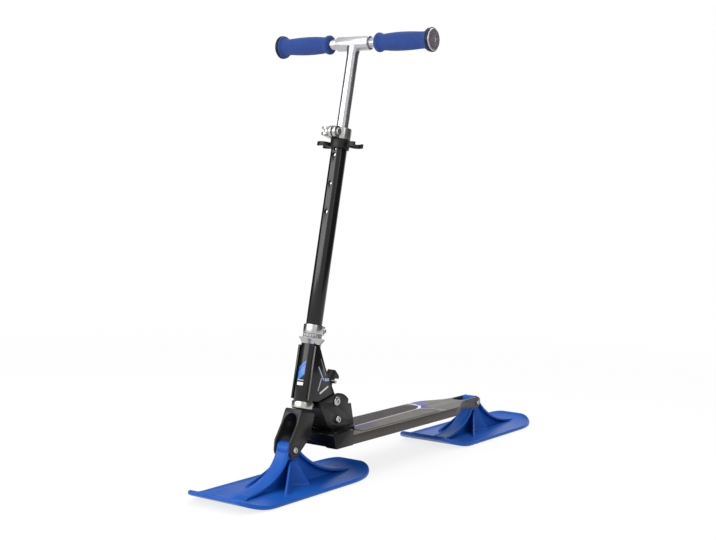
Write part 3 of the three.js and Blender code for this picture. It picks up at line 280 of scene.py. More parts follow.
def moulded_plastic(name, colour, worn, rough):
    """Moulded nylon: a fine spark-eroded grain and a little wear."""
    finish = Finish(name, specular_ior_level=0.22)
    point = finish.spot()
    pores = finish.cells(point, 900.0)
    clouds = finish.noise(point, 45.0, 3.0)
    finish.feed(
        base_color=finish.blend(clouds * 0.7, colour, worn),
        roughness=finish.between(clouds, rough - 0.05, rough + 0.08),
    )
    finish.bump(pores, 0.00008, 0.4)
    return finish.material


def ski_shell():
    """Blue polyethylene: mid blue, milky where it is rubbed, with flow marks and fine scratches."""
    finish = Finish("ski_blue_shell", specular_ior_level=0.16, coat_weight=0.04, coat_roughness=0.25)
    point = finish.spot()
    clouds = finish.noise(point, 14.0, 3.0)
    flow = finish.noise(finish.spot(stretch=(6, 1, 1)), 60.0, 4.0, 0.6)
    scratches = finish.noise(finish.spot(stretch=(14, 1, 1)), 240.0, 6.0, 0.8).below(0.36, 0.03)
    grain = finish.noise(point, 1500.0, 2.0)
    blue = finish.blend(clouds * 0.8, paint(5, 70, 158), paint(16, 82, 170))
    milky = finish.blend(flow * 0.22 + scratches * 0.12, blue, paint(70, 116, 180))
    finish.feed(
        base_color=milky,
        roughness=finish.between(flow, 0.3, 0.42) + scratches * 0.1,
    )
    finish.bump(grain * 0.5 + flow * 0.5, 0.00006, 0.45)
    return finish.material


def foam_rubber():
    """Blue closed foam: matt, with fine pores and slight shade changes."""
    finish = Finish("grip_blue_foam", specular_ior_level=0.2, sheen_weight=0.06, sheen_roughness=0.5)
    point = finish.spot(STEERING)
    pores = finish.cells(point, 1400.0)
    dimples = finish.noise(point, 700.0, 4.0, 0.7)
    clouds = finish.noise(point, 40.0, 3.0)
    blue = finish.blend(clouds, paint(31, 55, 114), paint(43, 67, 128))
    finish.feed(
        base_color=finish.blend(pores.below(0.28, 0.1) * 0.55, blue, paint(26, 46, 112)),
        roughness=finish.between(dimples, 0.78, 0.95),
    )
    finish.bump(dimples * 0.6 + pores * 0.4, 0.00035, 0.6)
    return finish.material


KNURLS_ROUND = 60.0
KNURLS_ALONG = 3800.0


def knurled_steel():
    """Grey zinc with cross-cut knurling round the steering axis."""
    finish = Finish("knurled_grey_steel", metallic=1.0)
    point = finish.spot(STEERING)
    across, aside, along = finish.axes(point)
    turn = aside.turn_from(across)
    first = (turn * KNURLS_ROUND + along * KNURLS_ALONG).sine()
    second = (turn * KNURLS_ROUND - along * KNURLS_ALONG).sine()
    knurl = first.most(second) * 0.5 + 0.5
    clouds = finish.noise(point, 80.0, 3.0)
    finish.feed(
        base_color=finish.blend(knurl * 0.6 + clouds * 0.4, paint(96, 97, 100), paint(188, 188, 190)),
        roughness=finish.between(clouds, 0.3, 0.46),
    )
    finish.bump(knurl, 0.0004, 0.7)
    return finish.material


# The deck's trim in metres: a line, two arcs and a block between two circles
LINE_SLOPE, LINE_ASIDE = 0.032, 0.0035
LINE_HALF, FAR_LINE_HALF, LINE_SOFT = 0.0022, 0.0030, 0.0006
ARCS_START, FAR_ARC_START = -0.098, -0.108
NEAR_CENTRE, NEAR_RADIUS = (-0.097, 0.045), 0.0446
FAR_CENTRE, FAR_RADIUS = (-0.105, -0.050), 0.0490
BLOCK_CENTRE, BLOCK_OUTER, BLOCK_INNER = (-0.135, -0.066), 0.065, 0.051
TRIM_EDGE = 0.0485


def striping(finish, base, shown=1.0):
    """Plain trim over a colour: a pale line down the deck that parts into two arcs, and a blue block."""
    ahead, aside, _ = finish.axes(finish.spot())

    def reach(centre):
        over_x, over_y = ahead - centre[0], aside - centre[1]
        return (over_x * over_x + over_y * over_y).root()

    back = ahead.below(ARCS_START, 0.001)
    middle = abs(aside - ahead * LINE_SLOPE - LINE_ASIDE).below(LINE_HALF, LINE_SOFT) * (1 - back)
    near = abs(reach(NEAR_CENTRE) - NEAR_RADIUS).below(LINE_HALF, LINE_SOFT) * back * (aside < TRIM_EDGE)
    far = abs(reach(FAR_CENTRE) - FAR_RADIUS).below(FAR_LINE_HALF, LINE_SOFT)
    far = far * ahead.below(FAR_ARC_START, 0.001) * (aside < 0.0)
    block = (reach(FAR_CENTRE) > BLOCK_INNER) * (reach(BLOCK_CENTRE) < BLOCK_OUTER) * (aside > -TRIM_EDGE)
    blue = finish.blend(block * 0.9 * shown, base, paint(78, 84, 158))
    lined = finish.blend(middle.most(near) * 0.75 * shown, blue, paint(182, 178, 188))
    return finish.blend(far * shown, lined, paint(224, 224, 234))


def deck_metal():
    """Dark metallic anodising, brushed along the deck, with the trim on its top; the top face is painted
    lighter, as if lit from above.
    """
    finish = Finish("deck_dark_metallic", metallic=0.7, specular_ior_level=0.16)
    lines = finish.noise(finish.spot(stretch=(40, 1, 1)), 700.0, 4.0, 0.7)
    clouds = finish.noise(finish.spot(), 22.0, 4.0)
    height = finish.axes(finish.spot())[2]
    top = 1 - height.below((AXLE_HEIGHT + DECK_TOP - 0.4) * METRE, 0.0002)
    # top * 0.4 is painted light: the top face is coloured lighter than the sides of the same anodising
    tone = lines * 0.3 + clouds * 0.3 + top * 0.4
    metal = finish.blend(tone, paint(66, 60, 58), paint(108, 107, 102))
    finish.feed(
        base_color=striping(finish, metal, top),
        roughness=finish.between(clouds, 0.34, 0.5),
        metallic=finish.between(top, 0.7, 0.35),
    )
    finish.bump(lines, 0.00005, 0.4)
    return finish.material


def grit_sheet():
    """Grip tape: grey grit with painted glints, darker on the far side of the trim's line, with a lilac
    wedge at the front.
    """
    finish = Finish("grit_striped_tape", specular_ior_level=0.2)
    point = finish.spot()
    ahead, aside, _ = finish.axes(point)
    grit = finish.cells(point, 1500.0)
    # Pale specks painted into the grit's colour: painted glints
    painted_glints = finish.noise(point, 2600.0, 1.0).below(0.34, 0.02)
    clouds = finish.noise(point, 24.0, 4.0)
    tone = clouds * 0.7 + grit * 0.4
    beyond = (aside - ahead * LINE_SLOPE).below(LINE_ASIDE, LINE_SOFT)
    near = finish.blend(tone, paint(86, 84, 81), paint(122, 119, 115))
    far = finish.blend(tone, paint(50, 46, 48), paint(78, 73, 76))
    panel = finish.blend(beyond, near, far)
    pointed = 1 - (ahead - abs(aside - 0.018) * 2).below(0.070, 0.001)
    wedge = (1 - beyond) * pointed * aside.below(0.034, 0.001)
    violet = finish.blend(wedge * 0.6, panel, paint(96, 86, 118))
    finish.feed(
        base_color=finish.blend(painted_glints * 0.3, striping(finish, violet), paint(196, 196, 196)),
        roughness=finish.between(grit, 0.6, 0.9),
    )
    finish.bump(grit * 0.7 + clouds * 0.3, 0.0005, 0.7)
    return finish.material


# The head tube's trim: cheek and badge in metres, strokes in millimetres with half their width
CHEEK_ASIDE = 0.0189
BADGE_HALF, BADGE_SLANT = 0.0065, 1.1
GREY_STROKE = ((-9.7, 162.5), (-32.3, 133.5), 0.9)
PALE_STROKES = (((-6.4, 147.4), (-27, 125), 1.2), ((-20, 128), (-14.3, 104), 1.2))
LOWER_STROKE = ((-44.3, 114.9), (-21, 99.8), 1.5)
LIGHT_STROKE = ((-30, 126), (-44, 127), 2.6)


def head_paint():
    """Gloss black with plain trim: pale strokes on the yoke's cheeks, a painted highlight along the yoke's
    front weld, and two bands on the tube's front.
    """
    finish = Finish("gloss_black_trimmed", specular_ior_level=0.22, coat_weight=0.25, coat_roughness=0.1)
    ahead, aside, station = finish.axes(finish.spot(STEERING))
    clouds = finish.noise(finish.spot(), 30.0, 4.0)
    peel = finish.noise(finish.spot(), 420.0, 2.0)
    cheek = (abs(aside) - CHEEK_ASIDE) > 0

    def stroke(start, end, half):
        """A straight stroke between two points of the cheek, in millimetres."""
        run = Vector(end) - Vector(start)
        length = run.length * METRE
        run.normalize()
        over_x, over_z = ahead - start[0] * METRE, station - start[1] * METRE
        along = over_x * run.x + over_z * run.y
        off = abs(over_z * run.x - over_x * run.y)
        return off.below(half * METRE, 0.0003) * (along > 0) * (along < length) * cheek

    black = finish.blend(clouds * 0.6, paint(10, 9, 10), paint(26, 25, 25))
    grey = stroke(*GREY_STROKE)
    # The second line in this mask is a painted highlight: a pale line along the weld at the yoke's front
    # edge
    grey = grey.most(abs(ahead - 0.0112).below(0.0011, 0.0005) * cheek * 0.8)
    pale = stroke(*PALE_STROKES[0]).most(stroke(*PALE_STROKES[1]))
    lower = stroke(*LOWER_STROKE)
    light = stroke(*LIGHT_STROKE)
    lined = finish.blend(grey, black, paint(118, 115, 110))
    first = finish.blend(light, lined, paint(128, 156, 190))
    second = finish.blend(pale, first, paint(158, 164, 192))
    third = finish.blend(lower, second, paint(206, 206, 198))
    front = (ahead > 0) * abs(aside).below(BADGE_HALF, 0.0004)
    slanted = station - aside * BADGE_SLANT
    band = abs(slanted - 0.136).below(0.0125, 0.0006) * front
    deep = abs(slanted - 0.143).below(0.0018, 0.0008) * front
    blue = finish.blend(band, third, paint(62, 122, 196))
    shaded = finish.blend(deep * 0.7, blue, paint(16, 44, 96))
    thin = abs(station - 0.1195).below(0.0008, 0.0003) * front
    white = abs(station - 0.1130).below(0.0028, 0.0005) * front
    finish.feed(
        base_color=finish.blend(white.most(thin * 0.7), shaded, paint(226, 224, 226)),
        roughness=finish.between(clouds, 0.2, 0.3),
    )
    finish.bump(peel, 0.00006, 0.5)
    return finish.material


def white_nylon():
    """Natural nylon: milky and slightly uneven."""
    finish = Finish("white_nylon", subsurface_weight=0.1)
    clouds = finish.noise(finish.spot(), 120.0, 3.0)
    finish.feed(
        base_color=finish.blend(clouds, paint(206, 204, 196), paint(232, 231, 226)),
        roughness=finish.between(clouds, 0.4, 0.55),
    )
    finish.bump(clouds, 0.00005, 0.3)
    return finish.material


ALONG_Z = (1, 1, 60)
ALONG_Y = (1, 60, 1)
NO_GRAIN = (1, 1, 1)
METALS = {
    "stem": ("satin_aluminium_stem", paint(208, 206, 210), paint(168, 166, 170), 0.27, ALONG_Z),
    "handle": ("satin_aluminium_handle", paint(206, 204, 208), paint(166, 164, 168), 0.24, ALONG_Y),
    "silver": ("zinc_silver", paint(204, 203, 201), paint(158, 157, 155), 0.24, NO_GRAIN),
    "cap": ("cap_silver_grey", paint(214, 207, 214), paint(156, 149, 156), 0.4, NO_GRAIN),
    "grey_steel": ("bearing_grey_steel", paint(150, 150, 152), paint(98, 98, 100), 0.36, NO_GRAIN),
}
COATS = {
    "gloss_black": ("gloss_black_tube", paint(10, 9, 10), paint(22, 20, 21), 0.2, 0.3),
    "satin_black": ("satin_black_bracket", paint(24, 22, 22), paint(50, 46, 45), 0.36, 0.08, 0.0001),
    "nose_black": ("gloss_black_nose", paint(7, 7, 8), paint(18, 18, 19), 0.2, 0.06, 0.00006, 0.1),
}
finishes = {
    "blue_shell": ski_shell(),
    "blue_foam": foam_rubber(),
    **{key: brushed_metal(*look) for key, look in METALS.items()},
    "knurled": knurled_steel(),
    **{key: powder_coat(*look) for key, look in COATS.items()},
    "trimmed_black": head_paint(),
    "moulded_black": moulded_plastic("moulded_black_nylon", paint(14, 14, 15), paint(34, 33, 34), 0.38),
    "deck": deck_metal(),
    "tape": grit_sheet(),
    "nylon": white_nylon(),
}


# Mesh tools

def soft_line(stops, place):
    """The height of a line through stops of (place, height), at a place."""
    for (start, low), (end, high) in zip(stops, stops[1:]):
        if place <= end:
            share = max(0.0, (place - start) / (end - start))
            return low + (high - low) * share
    return stops[-1][1]


def spun(bm, profile, axis, centre=(0, 0, 0), steps=48):
    """Spins a closed profile of points a full turn round an axis."""
    corners = [bm.verts.new(point) for point in profile]
    edges = [bm.edges.new(pair) for pair in zip(corners, corners[1:] + corners[:1])]
    bmesh.ops.spin(
        bm, geom=corners + edges, cent=centre, axis=axis, angle=FULL_TURN, steps=steps, use_merge=True,
    )


def lofted(bm, rings):
    """Draws one ring of points out through the others and closes both ends."""
    count = len(rings[0])
    ring = bmesh.ops.create_circle(bm, segments=count, radius=1, cap_ends=False)["verts"]
    for vertex, point in zip(ring, rings[0]):
        vertex.co = point
    first = {edge for vertex in ring for edge in vertex.link_edges}
    edges = list(first)
    last = ring
    for points in rings[1:]:
        grown = bmesh.ops.extrude_edge_only(bm, edges=edges)["geom"]
        edges = [item for item in grown if isinstance(item, bmesh.types.BMEdge) and item.is_boundary]
        fresh = {item for item in grown if isinstance(item, bmesh.types.BMVert)}
        edges = [edge for edge in edges if all(vertex in fresh for vertex in edge.verts)]
        moved = []
        for vertex, point in zip(last, points):
            twin = next(e.other_vert(vertex) for e in vertex.link_edges if e.other_vert(vertex) in fresh)
            moved.append((twin, point))
        for twin, point in moved:
            twin.co = point
        last = [twin for twin, _ in moved]
    bmesh.ops.contextual_create(bm, geom=list(first))
    bmesh.ops.contextual_create(bm, geom=edges)


def stood(bm, name):
    """Turns a drawn shape into an object of the scene."""
    mesh = bpy.data.meshes.new(name)
    bm.to_mesh(mesh)
    bm.free()
    piece = bpy.data.objects.new(name, mesh)
    bpy.context.scene.collection.objects.link(piece)
    return piece


def make_piece(bm, name, finish, body, place, node, sharp):
    """Puts a drawn shape into the model: in its place, in metres, on its body, for the node it replaces."""
    bmesh.ops.remove_doubles(bm, verts=bm.verts, dist=0.0005)
    bmesh.ops.recalc_face_normals(bm, faces=bm.faces)
    bmesh.ops.transform(bm, matrix=Matrix.Scale(METRE, 4) @ place, verts=bm.verts)
    for face in bm.faces:
        face.smooth = True
    piece = stood(bm, name)
    piece.data.set_sharp_from_angle(angle=math.radians(sharp))
    piece.data.materials.append(finishes[finish])
    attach(piece, body)
    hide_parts(node)
    return piece


# Skis

# The pan reaches further than the solid's: ends from the axle, corner rounds along and across,
# the flat length on either side of the axle, and the radius of the turned-up ends beyond it
TIP_REACH, TAIL_REACH = 200, 204
SKI_WIDTH = 158
TIP_ROUND, TAIL_ROUND = (79, 33), (106, 58)
FLAT_AHEAD, FLAT_BEHIND = 128, 146
TIP_BEND, TAIL_BEND = 153, 163
SKI_SHEET = 4
PAN_GRID = 44
RINGS_CROWDING = 1.7
HUB_RADIUS = 14
# The band's feet from the axle, and the handles of the curves that rise from them, as shares
FOOT_AHEAD, FOOT_BEHIND, FOOT_HEIGHT = 124, 158, 9.5
SHOULDER_SHARES = (0.84, 0.4)
AHEAD_SHARES = ((0.05, 0.6), (0.53, 0.03))
BEHIND_SHARES = ((0.11, 0.3), (0.506, 0.108))
LIP_BAND = 14
LIP_TOP = [
    (0, 4.6), (0.6, 6.4), (1.4, 7.2), (2.4, 7.5), (3.6, 7.2), (5.2, 6.0), (7, 4.8), (9.5, 4.1), (13, 4),
]
LIP_BOTTOM = [(0, 3.1), (0.8, 1.1), (2, 0.3), (3.5, 0)]


def bent(x, height):
    """A point of the pan at a distance from the axle and a height above its underside."""
    flat, bend = (FLAT_AHEAD, TIP_BEND) if x > 0 else (FLAT_BEHIND, TAIL_BEND)
    over = abs(x) - flat
    if over <= 0:
        return x, height
    turn = math.asin(min(1.0, over / (bend - SKI_SHEET)))
    reach = flat + (bend - height) * math.sin(turn)
    return math.copysign(reach, x), bend - (bend - height) * math.cos(turn)


def pan_skin(bm, heights):
    """One skin of the pan: a grid whose rings follow the outline, raised by the distance from its edge."""
    made = bmesh.ops.create_grid(bm, x_segments=PAN_GRID, y_segments=PAN_GRID, size=1)["verts"]
    half_width = SKI_WIDTH / 2
    for vertex in made:
        u, v, _ = vertex.co
        ring = max(abs(u), abs(v))
        if ring == 0:
            vertex.co = (0, 0, SKI_SHEET if heights is LIP_TOP else 0)
            continue
        inset = half_width * (1 - ring) ** RINGS_CROWDING
        reach, (long, wide) = (TIP_REACH, TIP_ROUND) if u > 0 else (TAIL_REACH, TAIL_ROUND)
        deeper = max(0.0, inset - LIP_BAND) / (half_width - LIP_BAND)
        half_x = reach - inset - (reach - half_width) * deeper
        half_y = half_width - inset
        shrink = half_y / half_width
        long = max(1.0, (long - inset) * (1 - deeper))
        wide = max(0.5, min((wide - inset * 0.4) * shrink, half_y))
        x, y = half_x * u / ring, half_y * v / ring
        over_x, over_y = abs(x) - (half_x - long), abs(y) - (half_y - wide)
        if over_x > 0 and over_y > 0:
            stretch = 1 / math.hypot(over_x / long, over_y / wide)
            x = math.copysign(half_x - long + over_x * stretch, x)
            y = math.copysign(half_y - wide + over_y * stretch, y)
        x, z = bent(x, soft_line(heights, inset))
        vertex.co = (x, y, z)
    faces = {face for vertex in made for face in vertex.link_faces}
    return [edge for edge in {e for face in faces for e in face.edges} if edge.is_boundary]


def flank_line(foot, shares, steps=22):
    """The side view of the band on one side of the hub, from its foot up to the shoulder."""
    shoulder = Vector((SHOULDER_SHARES[0] * HUB_RADIUS, 0, AXLE_HEIGHT + SHOULDER_SHARES[1] * HUB_RADIUS))
    rise = shoulder.z - FOOT_HEIGHT
    (upper_x, upper_z), (lower_x, lower_z) = shares
    upper = shoulder + Vector((upper_x * foot, 0, -upper_z * rise))
    lower = Vector((lower_x * foot, 0, FOOT_HEIGHT + lower_z * rise))
    return interpolate_bezier(Vector((foot, 0, FOOT_HEIGHT)), lower, upper, shoulder, steps)


def strip_line():
    """The side view of the band over the hub: points with their outward directions, from front to back."""
    ahead = flank_line(FOOT_AHEAD, AHEAD_SHARES)
    behind = [Vector((-p.x, 0, p.z)) for p in reversed(flank_line(FOOT_BEHIND, BEHIND_SHARES))]
    start = math.atan2(SHOULDER_SHARES[1], SHOULDER_SHARES[0])
    arc = [start + (math.pi - 2 * start) * i / 12 for i in range(1, 12)]
    over = [Vector((HUB_RADIUS * math.cos(a), 0, AXLE_HEIGHT + HUB_RADIUS * math.sin(a))) for a in arc]
    line = ahead + over + behind
    outward = []
    for i, point in enumerate(line):
        run = line[min(i + 1, len(line) - 1)] - line[max(i - 1, 0)]
        outward.append(Vector((run.z, 0, -run.x)).normalized())
    return list(zip(line, outward))


STRIP_SECTION = [
    (-14.5, -1.4), (-14.1, -0.5), (-13.2, 0), (-12.2, -0.2), (-10.8, -1.0), (-6, -1.2), (6, -1.2),
    (10.8, -1.0), (12.2, -0.2), (13.2, 0), (14.1, -0.5), (14.5, -1.4), (14.5, -4.2), (13.8, -5),
    (-13.8, -5), (-14.5, -4.2),
]
# Half thickness of the web, with its height above the pan or its depth below the band
WEB_SECTION = [
    (7.4, 0, None), (5.6, 1.6, None), (4.7, 5, None), (4.5, None, 5), (5.5, None, 1.5), (6.6, None, 0),
]
RIB_TOP, RIB_TOE, RIB_SPREAD = 49, 6.5, 13.2
RIB_SHARES = (0, 0.02, 0.12, 0.25, 0.4, 0.55, 0.7, 0.82, 0.91, 0.97, 1)
FRONT_RIB, REAR_RIB = (7, 60, 45), (-12, -32, 29)


def ski_band(bm):
    """The band over the hub, with raised rims, sunk into the pan at both feet."""
    line = strip_line()
    up = Vector((0, 0, 1))
    for x, at in ((FOOT_AHEAD + 16, 0), (-FOOT_BEHIND - 22, len(line) + 1)):
        line.insert(at, (Vector((x, 0, bent(x, SKI_SHEET)[1] - 0.8)), up))
    rings = []
    for point, outward in line:
        foot = FOOT_AHEAD if point.x > 0 else FOOT_BEHIND
        flare = 1 + 0.16 * max(0.0, abs(point.x) / foot - 0.65) / 0.35
        ring = [point + outward * depth + Vector((0, y * flare, 0)) for y, depth in STRIP_SECTION]
        rings.append([Vector((p.x, p.y, max(p.z, bent(p.x, 1.2)[1]))) for p in ring])
    lofted(bm, rings)


def ski_web(bm):
    """The upright web below the band, thicker where it meets the pan and the band."""
    rings = []
    for point, outward in strip_line():
        if point.x > FOOT_AHEAD - 12 or point.x < 12 - FOOT_BEHIND:
            continue
        top = point + outward * -3.5
        floor = bent(top.x, SKI_SHEET - 0.6)[1]
        rise = max(0.4, top.z - floor)
        side = []
        for half, low, high in WEB_SECTION:
            height = min(low, rise * 0.5) if high is None else rise - min(high, rise * 0.4)
            side.append((half, floor + height))
        ring = [Vector((top.x, y, z)) for y, z in side]
        rings.append(ring + [Vector((top.x, -y, z)) for y, z in reversed(side)])
    lofted(bm, rings)


def ski_rib(bm, top_x, foot_x, foot_y, side):
    """An upright gusset that fans out from the hub to its foot on the pan, on one side."""
    start, foot = Vector((top_x, RIB_SPREAD, 0)), Vector((foot_x, foot_y, 0))
    run = (foot - start).normalized()
    across = Vector((-run.y, run.x, 0))
    root = start - run * ((RIB_SPREAD - 2.6) / run.y)
    rings = []
    for share in RIB_SHARES:
        place = root.lerp(foot, share)
        past = max(0.0, (place - start).dot(run)) / (foot - start).length
        floor = bent(place.x, SKI_SHEET - 0.6)[1]
        top = RIB_TOP - (RIB_TOP - RIB_TOE) * past - 2.2 * math.sin(math.pi * min(1.0, past))
        if share == 1:
            top = floor + 1.2
        rise = max(0.8, top - floor)
        section = [(4.4, 0), (2.9, min(1.6, rise * 0.4)), (2.2, min(4.5, rise * 0.7))]
        section += [(1.8, rise - 0.8), (0.9, rise)]
        ring = [place + across * half + Vector((0, 0, floor + up)) for half, up in section]
        ring += [place - across * half + Vector((0, 0, floor + up)) for half, up in reversed(section)]
        rings.append([Vector((p.x, p.y * side, p.z)) for p in ring])
    lofted(bm, rings)


def ski_hub(bm):
    """The boss round the axle, with rounded ends and a bore."""
    profile = [(4.35, -12), (12.6, -12), (13.6, -11), (13.6, 11), (12.6, 12), (4.35, 12)]
    spun(bm, [Vector((r, y, AXLE_HEIGHT)) for r, y in profile], (0, 1, 0), (0, 0, AXLE_HEIGHT), 40)


def make_ski(name, place):
    bm = bmesh.new()
    upper = pan_skin(bm, LIP_TOP)
    lower = pan_skin(bm, LIP_BOTTOM)
    bmesh.ops.bridge_loops(bm, edges=upper + lower)
    ski_band(bm)
    ski_web(bm)
    for side in (1, -1):
        ski_rib(bm, *FRONT_RIB, side)
        ski_rib(bm, *REAR_RIB, side)
    ski_hub(bm)
    make_piece(bm, f"{name}_moulding", "blue_shell", f"{name}_body", place, name, 35.0)


# Grips and end caps

BAR_STATION = 751
GRIP_PROFILE = [
    (52, 9.95), (52, 14.6), (52.8, 16.4), (54.6, 17.8), (57, 18.1), (59.4, 17.6), (62, 16.2), (65.5, 15.2),
    (70, 15.3), (78, 16.1), (90, 16.9), (106, 17.2), (122, 16.9), (136, 16.2), (147, 15.4), (152, 15.3),
    (155, 15.9), (157.5, 16.6), (160, 17.0), (161.4, 18.2), (162.2, 20.2), (163.4, 21), (165.2, 21),
    (166, 20.2), (166, 9.95),
]
CAP_PROFILE = [
    (156.2, 0.01), (156.2, 7.4), (157, 7.8), (168.4, 7.8), (168.4, 20), (168.8, 20.4), (171.4, 20.4),
    (172.6, 19.9), (173.4, 18.8), (173.9, 16.6), (174.2, 13.6), (174.4, 10.6), (174.5, 7.6), (174.6, 5),
    (174.5, 3.6), (173.9, 3), (173.2, 2.8), (173, 0.01),
]
RIM_PROFILE = [
    (166.3, 8.1), (166.3, 20.6), (166.8, 21.6), (167.8, 22), (170, 22), (171, 21.6), (171.3, 21.1),
    (171.3, 20.7), (167.9, 20.7), (167.9, 8.1),
]


BAR_SHARP = 50.0
CAP_LOBES = 4
LOBES_START, LOBES_END, LOBES_ASIDE, LOBES_DEPTH = 3.4, 19, 170, 1.1


def bar_spun(profile, side, steps):
    """A shape spun round the bar, from its profile of places along the bar and radii."""
    bm = bmesh.new()
    points = [Vector((radius, side * y, BAR_STATION)) for y, radius in profile]
    spun(bm, points, (0, 1, 0), (0, 0, BAR_STATION), steps)
    return bm


def bar_piece(bm, piece, name, finish, node):
    """Puts a piece of one handle into the model."""
    body = f"{name}_handle"
    return make_piece(bm, f"{piece}_{name}", finish, body, STEERING, f"{node}_{name}", BAR_SHARP)


def make_grip(side, name):
    bm = bar_spun(GRIP_PROFILE, side, 56)
    grip = bar_piece(bm, "foam_grip", name, "blue_foam", "grip")


def make_rim(side, name):
    """The black dish that holds the end cap."""
    bm = bar_spun(RIM_PROFILE, side, 56)
    bar_piece(bm, "rim", name, "moulded_black", "grip_rim")


def make_cap(side, name):
    """The domed end cap: rounded lobes like petals round a dark centre."""
    bm = bar_spun(CAP_PROFILE, side, 96)
    for vertex in bm.verts:
        x, z = vertex.co.x, vertex.co.z - BAR_STATION
        radius = math.hypot(x, z)
        if LOBES_START < radius < LOBES_END and abs(vertex.co.y) > LOBES_ASIDE:
            swell = math.sin(math.pi * (radius - LOBES_START) / (LOBES_END - LOBES_START))
            lobe = abs(math.cos(CAP_LOBES * math.atan2(z, x)))
            vertex.co.y -= side * swell * (1 - lobe) * LOBES_DEPTH
    bar_piece(bm, "petal_cap", name, "cap", "end_cap")


# Rigid pieces that keep their solid's shape, with their edges rounded and their curves smooth

ARM_LINE = [(0, 0), (18, 15), (25.3, 18.6), (32, 22.4), (60, 50.4)]
ARMS_START = Vector((-228, 0, 0))
ARMS_END = Vector((-282, 0, 0))
CROWN_TOP = 67.4


def narrowed(vertex, node):
    """Draws the fork's legs and the deck's arms, with what they carry, closer to the ski between them."""
    if node == "fork" and (STEERING.inverted() @ vertex.co).z > CROWN_TOP:
        return
    share = 1.0
    if node == "deck":
        share = min(1.0, max(0.0, (ARMS_START.x - vertex.co.x) / (ARMS_START.x - ARMS_END.x)))
        share = share * share * (3 - 2 * share)
    across = soft_line(ARM_LINE, abs(vertex.co.y))
    vertex.co.y = math.copysign(abs(vertex.co.y) * (1 - share) + across * share, vertex.co.y)


FLAT_ANGLE = math.radians(0.6)
SHARP_ANGLE = math.radians(28.0)


def soften(node, name, finish, radius):
    """A copy of a solid with joined corners: its sharp edges are rounded and its curves shaded smooth."""
    source = cad_nodes[node]
    body = source["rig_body"]
    bm = bmesh.new()
    bm.from_mesh(source.data)
    bmesh.ops.transform(bm, matrix=Matrix.Scale(1 / METRE, 4), verts=bm.verts)
    bmesh.ops.remove_doubles(bm, verts=bm.verts, dist=0.002)
    bmesh.ops.dissolve_limit(bm, angle_limit=FLAT_ANGLE, verts=bm.verts, edges=bm.edges)
    if node in NARROWED:
        for vertex in bm.verts:
            narrowed(vertex, node)
    joined = [edge for edge in bm.edges if len(edge.link_faces) == 2]
    sharp = [edge for edge in joined if edge.calc_face_angle(0) > SHARP_ANGLE]
    bmesh.ops.bevel(
        bm, geom=sharp, offset=radius, offset_type="OFFSET", affect="EDGES", segments=2, profile=0.5,
        material=-1, clamp_overlap=True,
    )
    make_piece(bm, name, finish, body, Matrix.Identity(4), node, 32.0)


aim_camera()
make_ski("front_ski", FRONT_GROUND)
make_ski("rear_ski", REAR_GROUND)
for side, name in ((1, "left"), (-1, "right")):
    make_grip(side, name)
    make_rim(side, name)
    make_cap(side, name)

SOFTENED = [
    ("fork", "fork_legs", "satin_black", "gloss_black", 0.7),
    ("steering_tube", "lower_tube", "gloss_black", "gloss_black", 0.3),
    ("head_tube", "head_tube_yoke", "trimmed_black", "gloss_black", 0.4),
    ("deck_bracket", "folding_bracket", "satin_black", "gloss_black", 0.6),
    ("deck_nose", "nose_block", "nose_black", "gloss_black", 0.9),
    ("deck", "deck_plank", "deck", "deck_grey", 0.8),
    ("handle_clip", "handle_clip_hooks", "moulded_black", "moulded_black", 0.5),
    ("upper_clamp", "clamp_band", "silver", "silver", 0.6),
    ("clamp_lever", "clamp_lever_arm", "silver", "silver", 0.6),
    ("clamp_nut", "clamp_nut_disc", "silver", "silver", 0.4),
    ("headset_collar", "collar_band", "silver", "silver", 0.6),
    ("headset_nut", "headset_nut_ring", "knurled", "grey_steel", 0.2),
    ("upper_cup", "upper_cup_shell", "silver", "silver", 0.3),
    ("lower_cup", "lower_cup_shell", "silver", "silver", 0.3),
    ("t_stem", "t_stem_tube", "stem", "satin_aluminium", 0.4),
    ("release_lever", "release_lever_arm", "moulded_black", "moulded_black", 0.5),
    ("handle_tube_left", "bare_handle_left", "handle", "satin_aluminium", 0.2),
    ("handle_tube_right", "bare_handle_right", "handle", "satin_aluminium", 0.2),
    ("fold_pivot_bolt", "pivot_bolt", "silver", "silver", 0.4),
    ("stop_bolt", "stop_bolt_head", "silver", "silver", 0.4),
    ("front_axle_bolt", "front_axle_bolt_head", "silver", "silver", 0.4),
    ("rear_axle_bolt", "rear_axle_bolt_head", "silver", "silver", 0.4),
    ("collar_bolt", "collar_bolt_head", "silver", "silver", 0.3),
    ("front_axle_nut", "front_axle_nut_hex", "silver", "silver", 0.3),
    ("rear_axle_nut", "rear_axle_nut_hex", "silver", "silver", 0.3),
    ("front_spacer_left", "front_washer_left", "nylon", "white_nylon", 0.2),
    ("front_spacer_right", "front_washer_right", "nylon", "white_nylon", 0.2),
    ("rear_spacer_left", "rear_washer_left", "nylon", "white_nylon", 0.2),
    ("rear_spacer_right", "rear_washer_right", "nylon", "white_nylon", 0.2),
]
NARROWED = {
    "fork", "deck", "front_axle_bolt", "front_axle_nut", "front_spacer_left", "front_spacer_right",
    "rear_axle_bolt", "rear_axle_nut", "rear_spacer_left", "rear_spacer_right",
}
for node, name, finish, slot, radius in SOFTENED:
    soften(node, name, finish, radius)

KEPT = {
    "silver": [
        "fold_pivot_nut", "stop_nut", "bracket_screw_left", "bracket_screw_right", "lever_pin",
        "clamp_bolt", "height_button", "handle_button_left", "handle_button_right", "stop_spacer",
    ],
    "grey_steel": ["lower_bearing", "upper_bearing"],
    "moulded_black": ["tube_bushing"],
    "nylon": ["stem_guide"],
    "tape": ["grip_tape"],
}
for finish, names in KEPT.items():
    for name in names:
        slots = cad_nodes[name].material_slots
        slots[0].material = finishes[finish]


# Floor, light and background

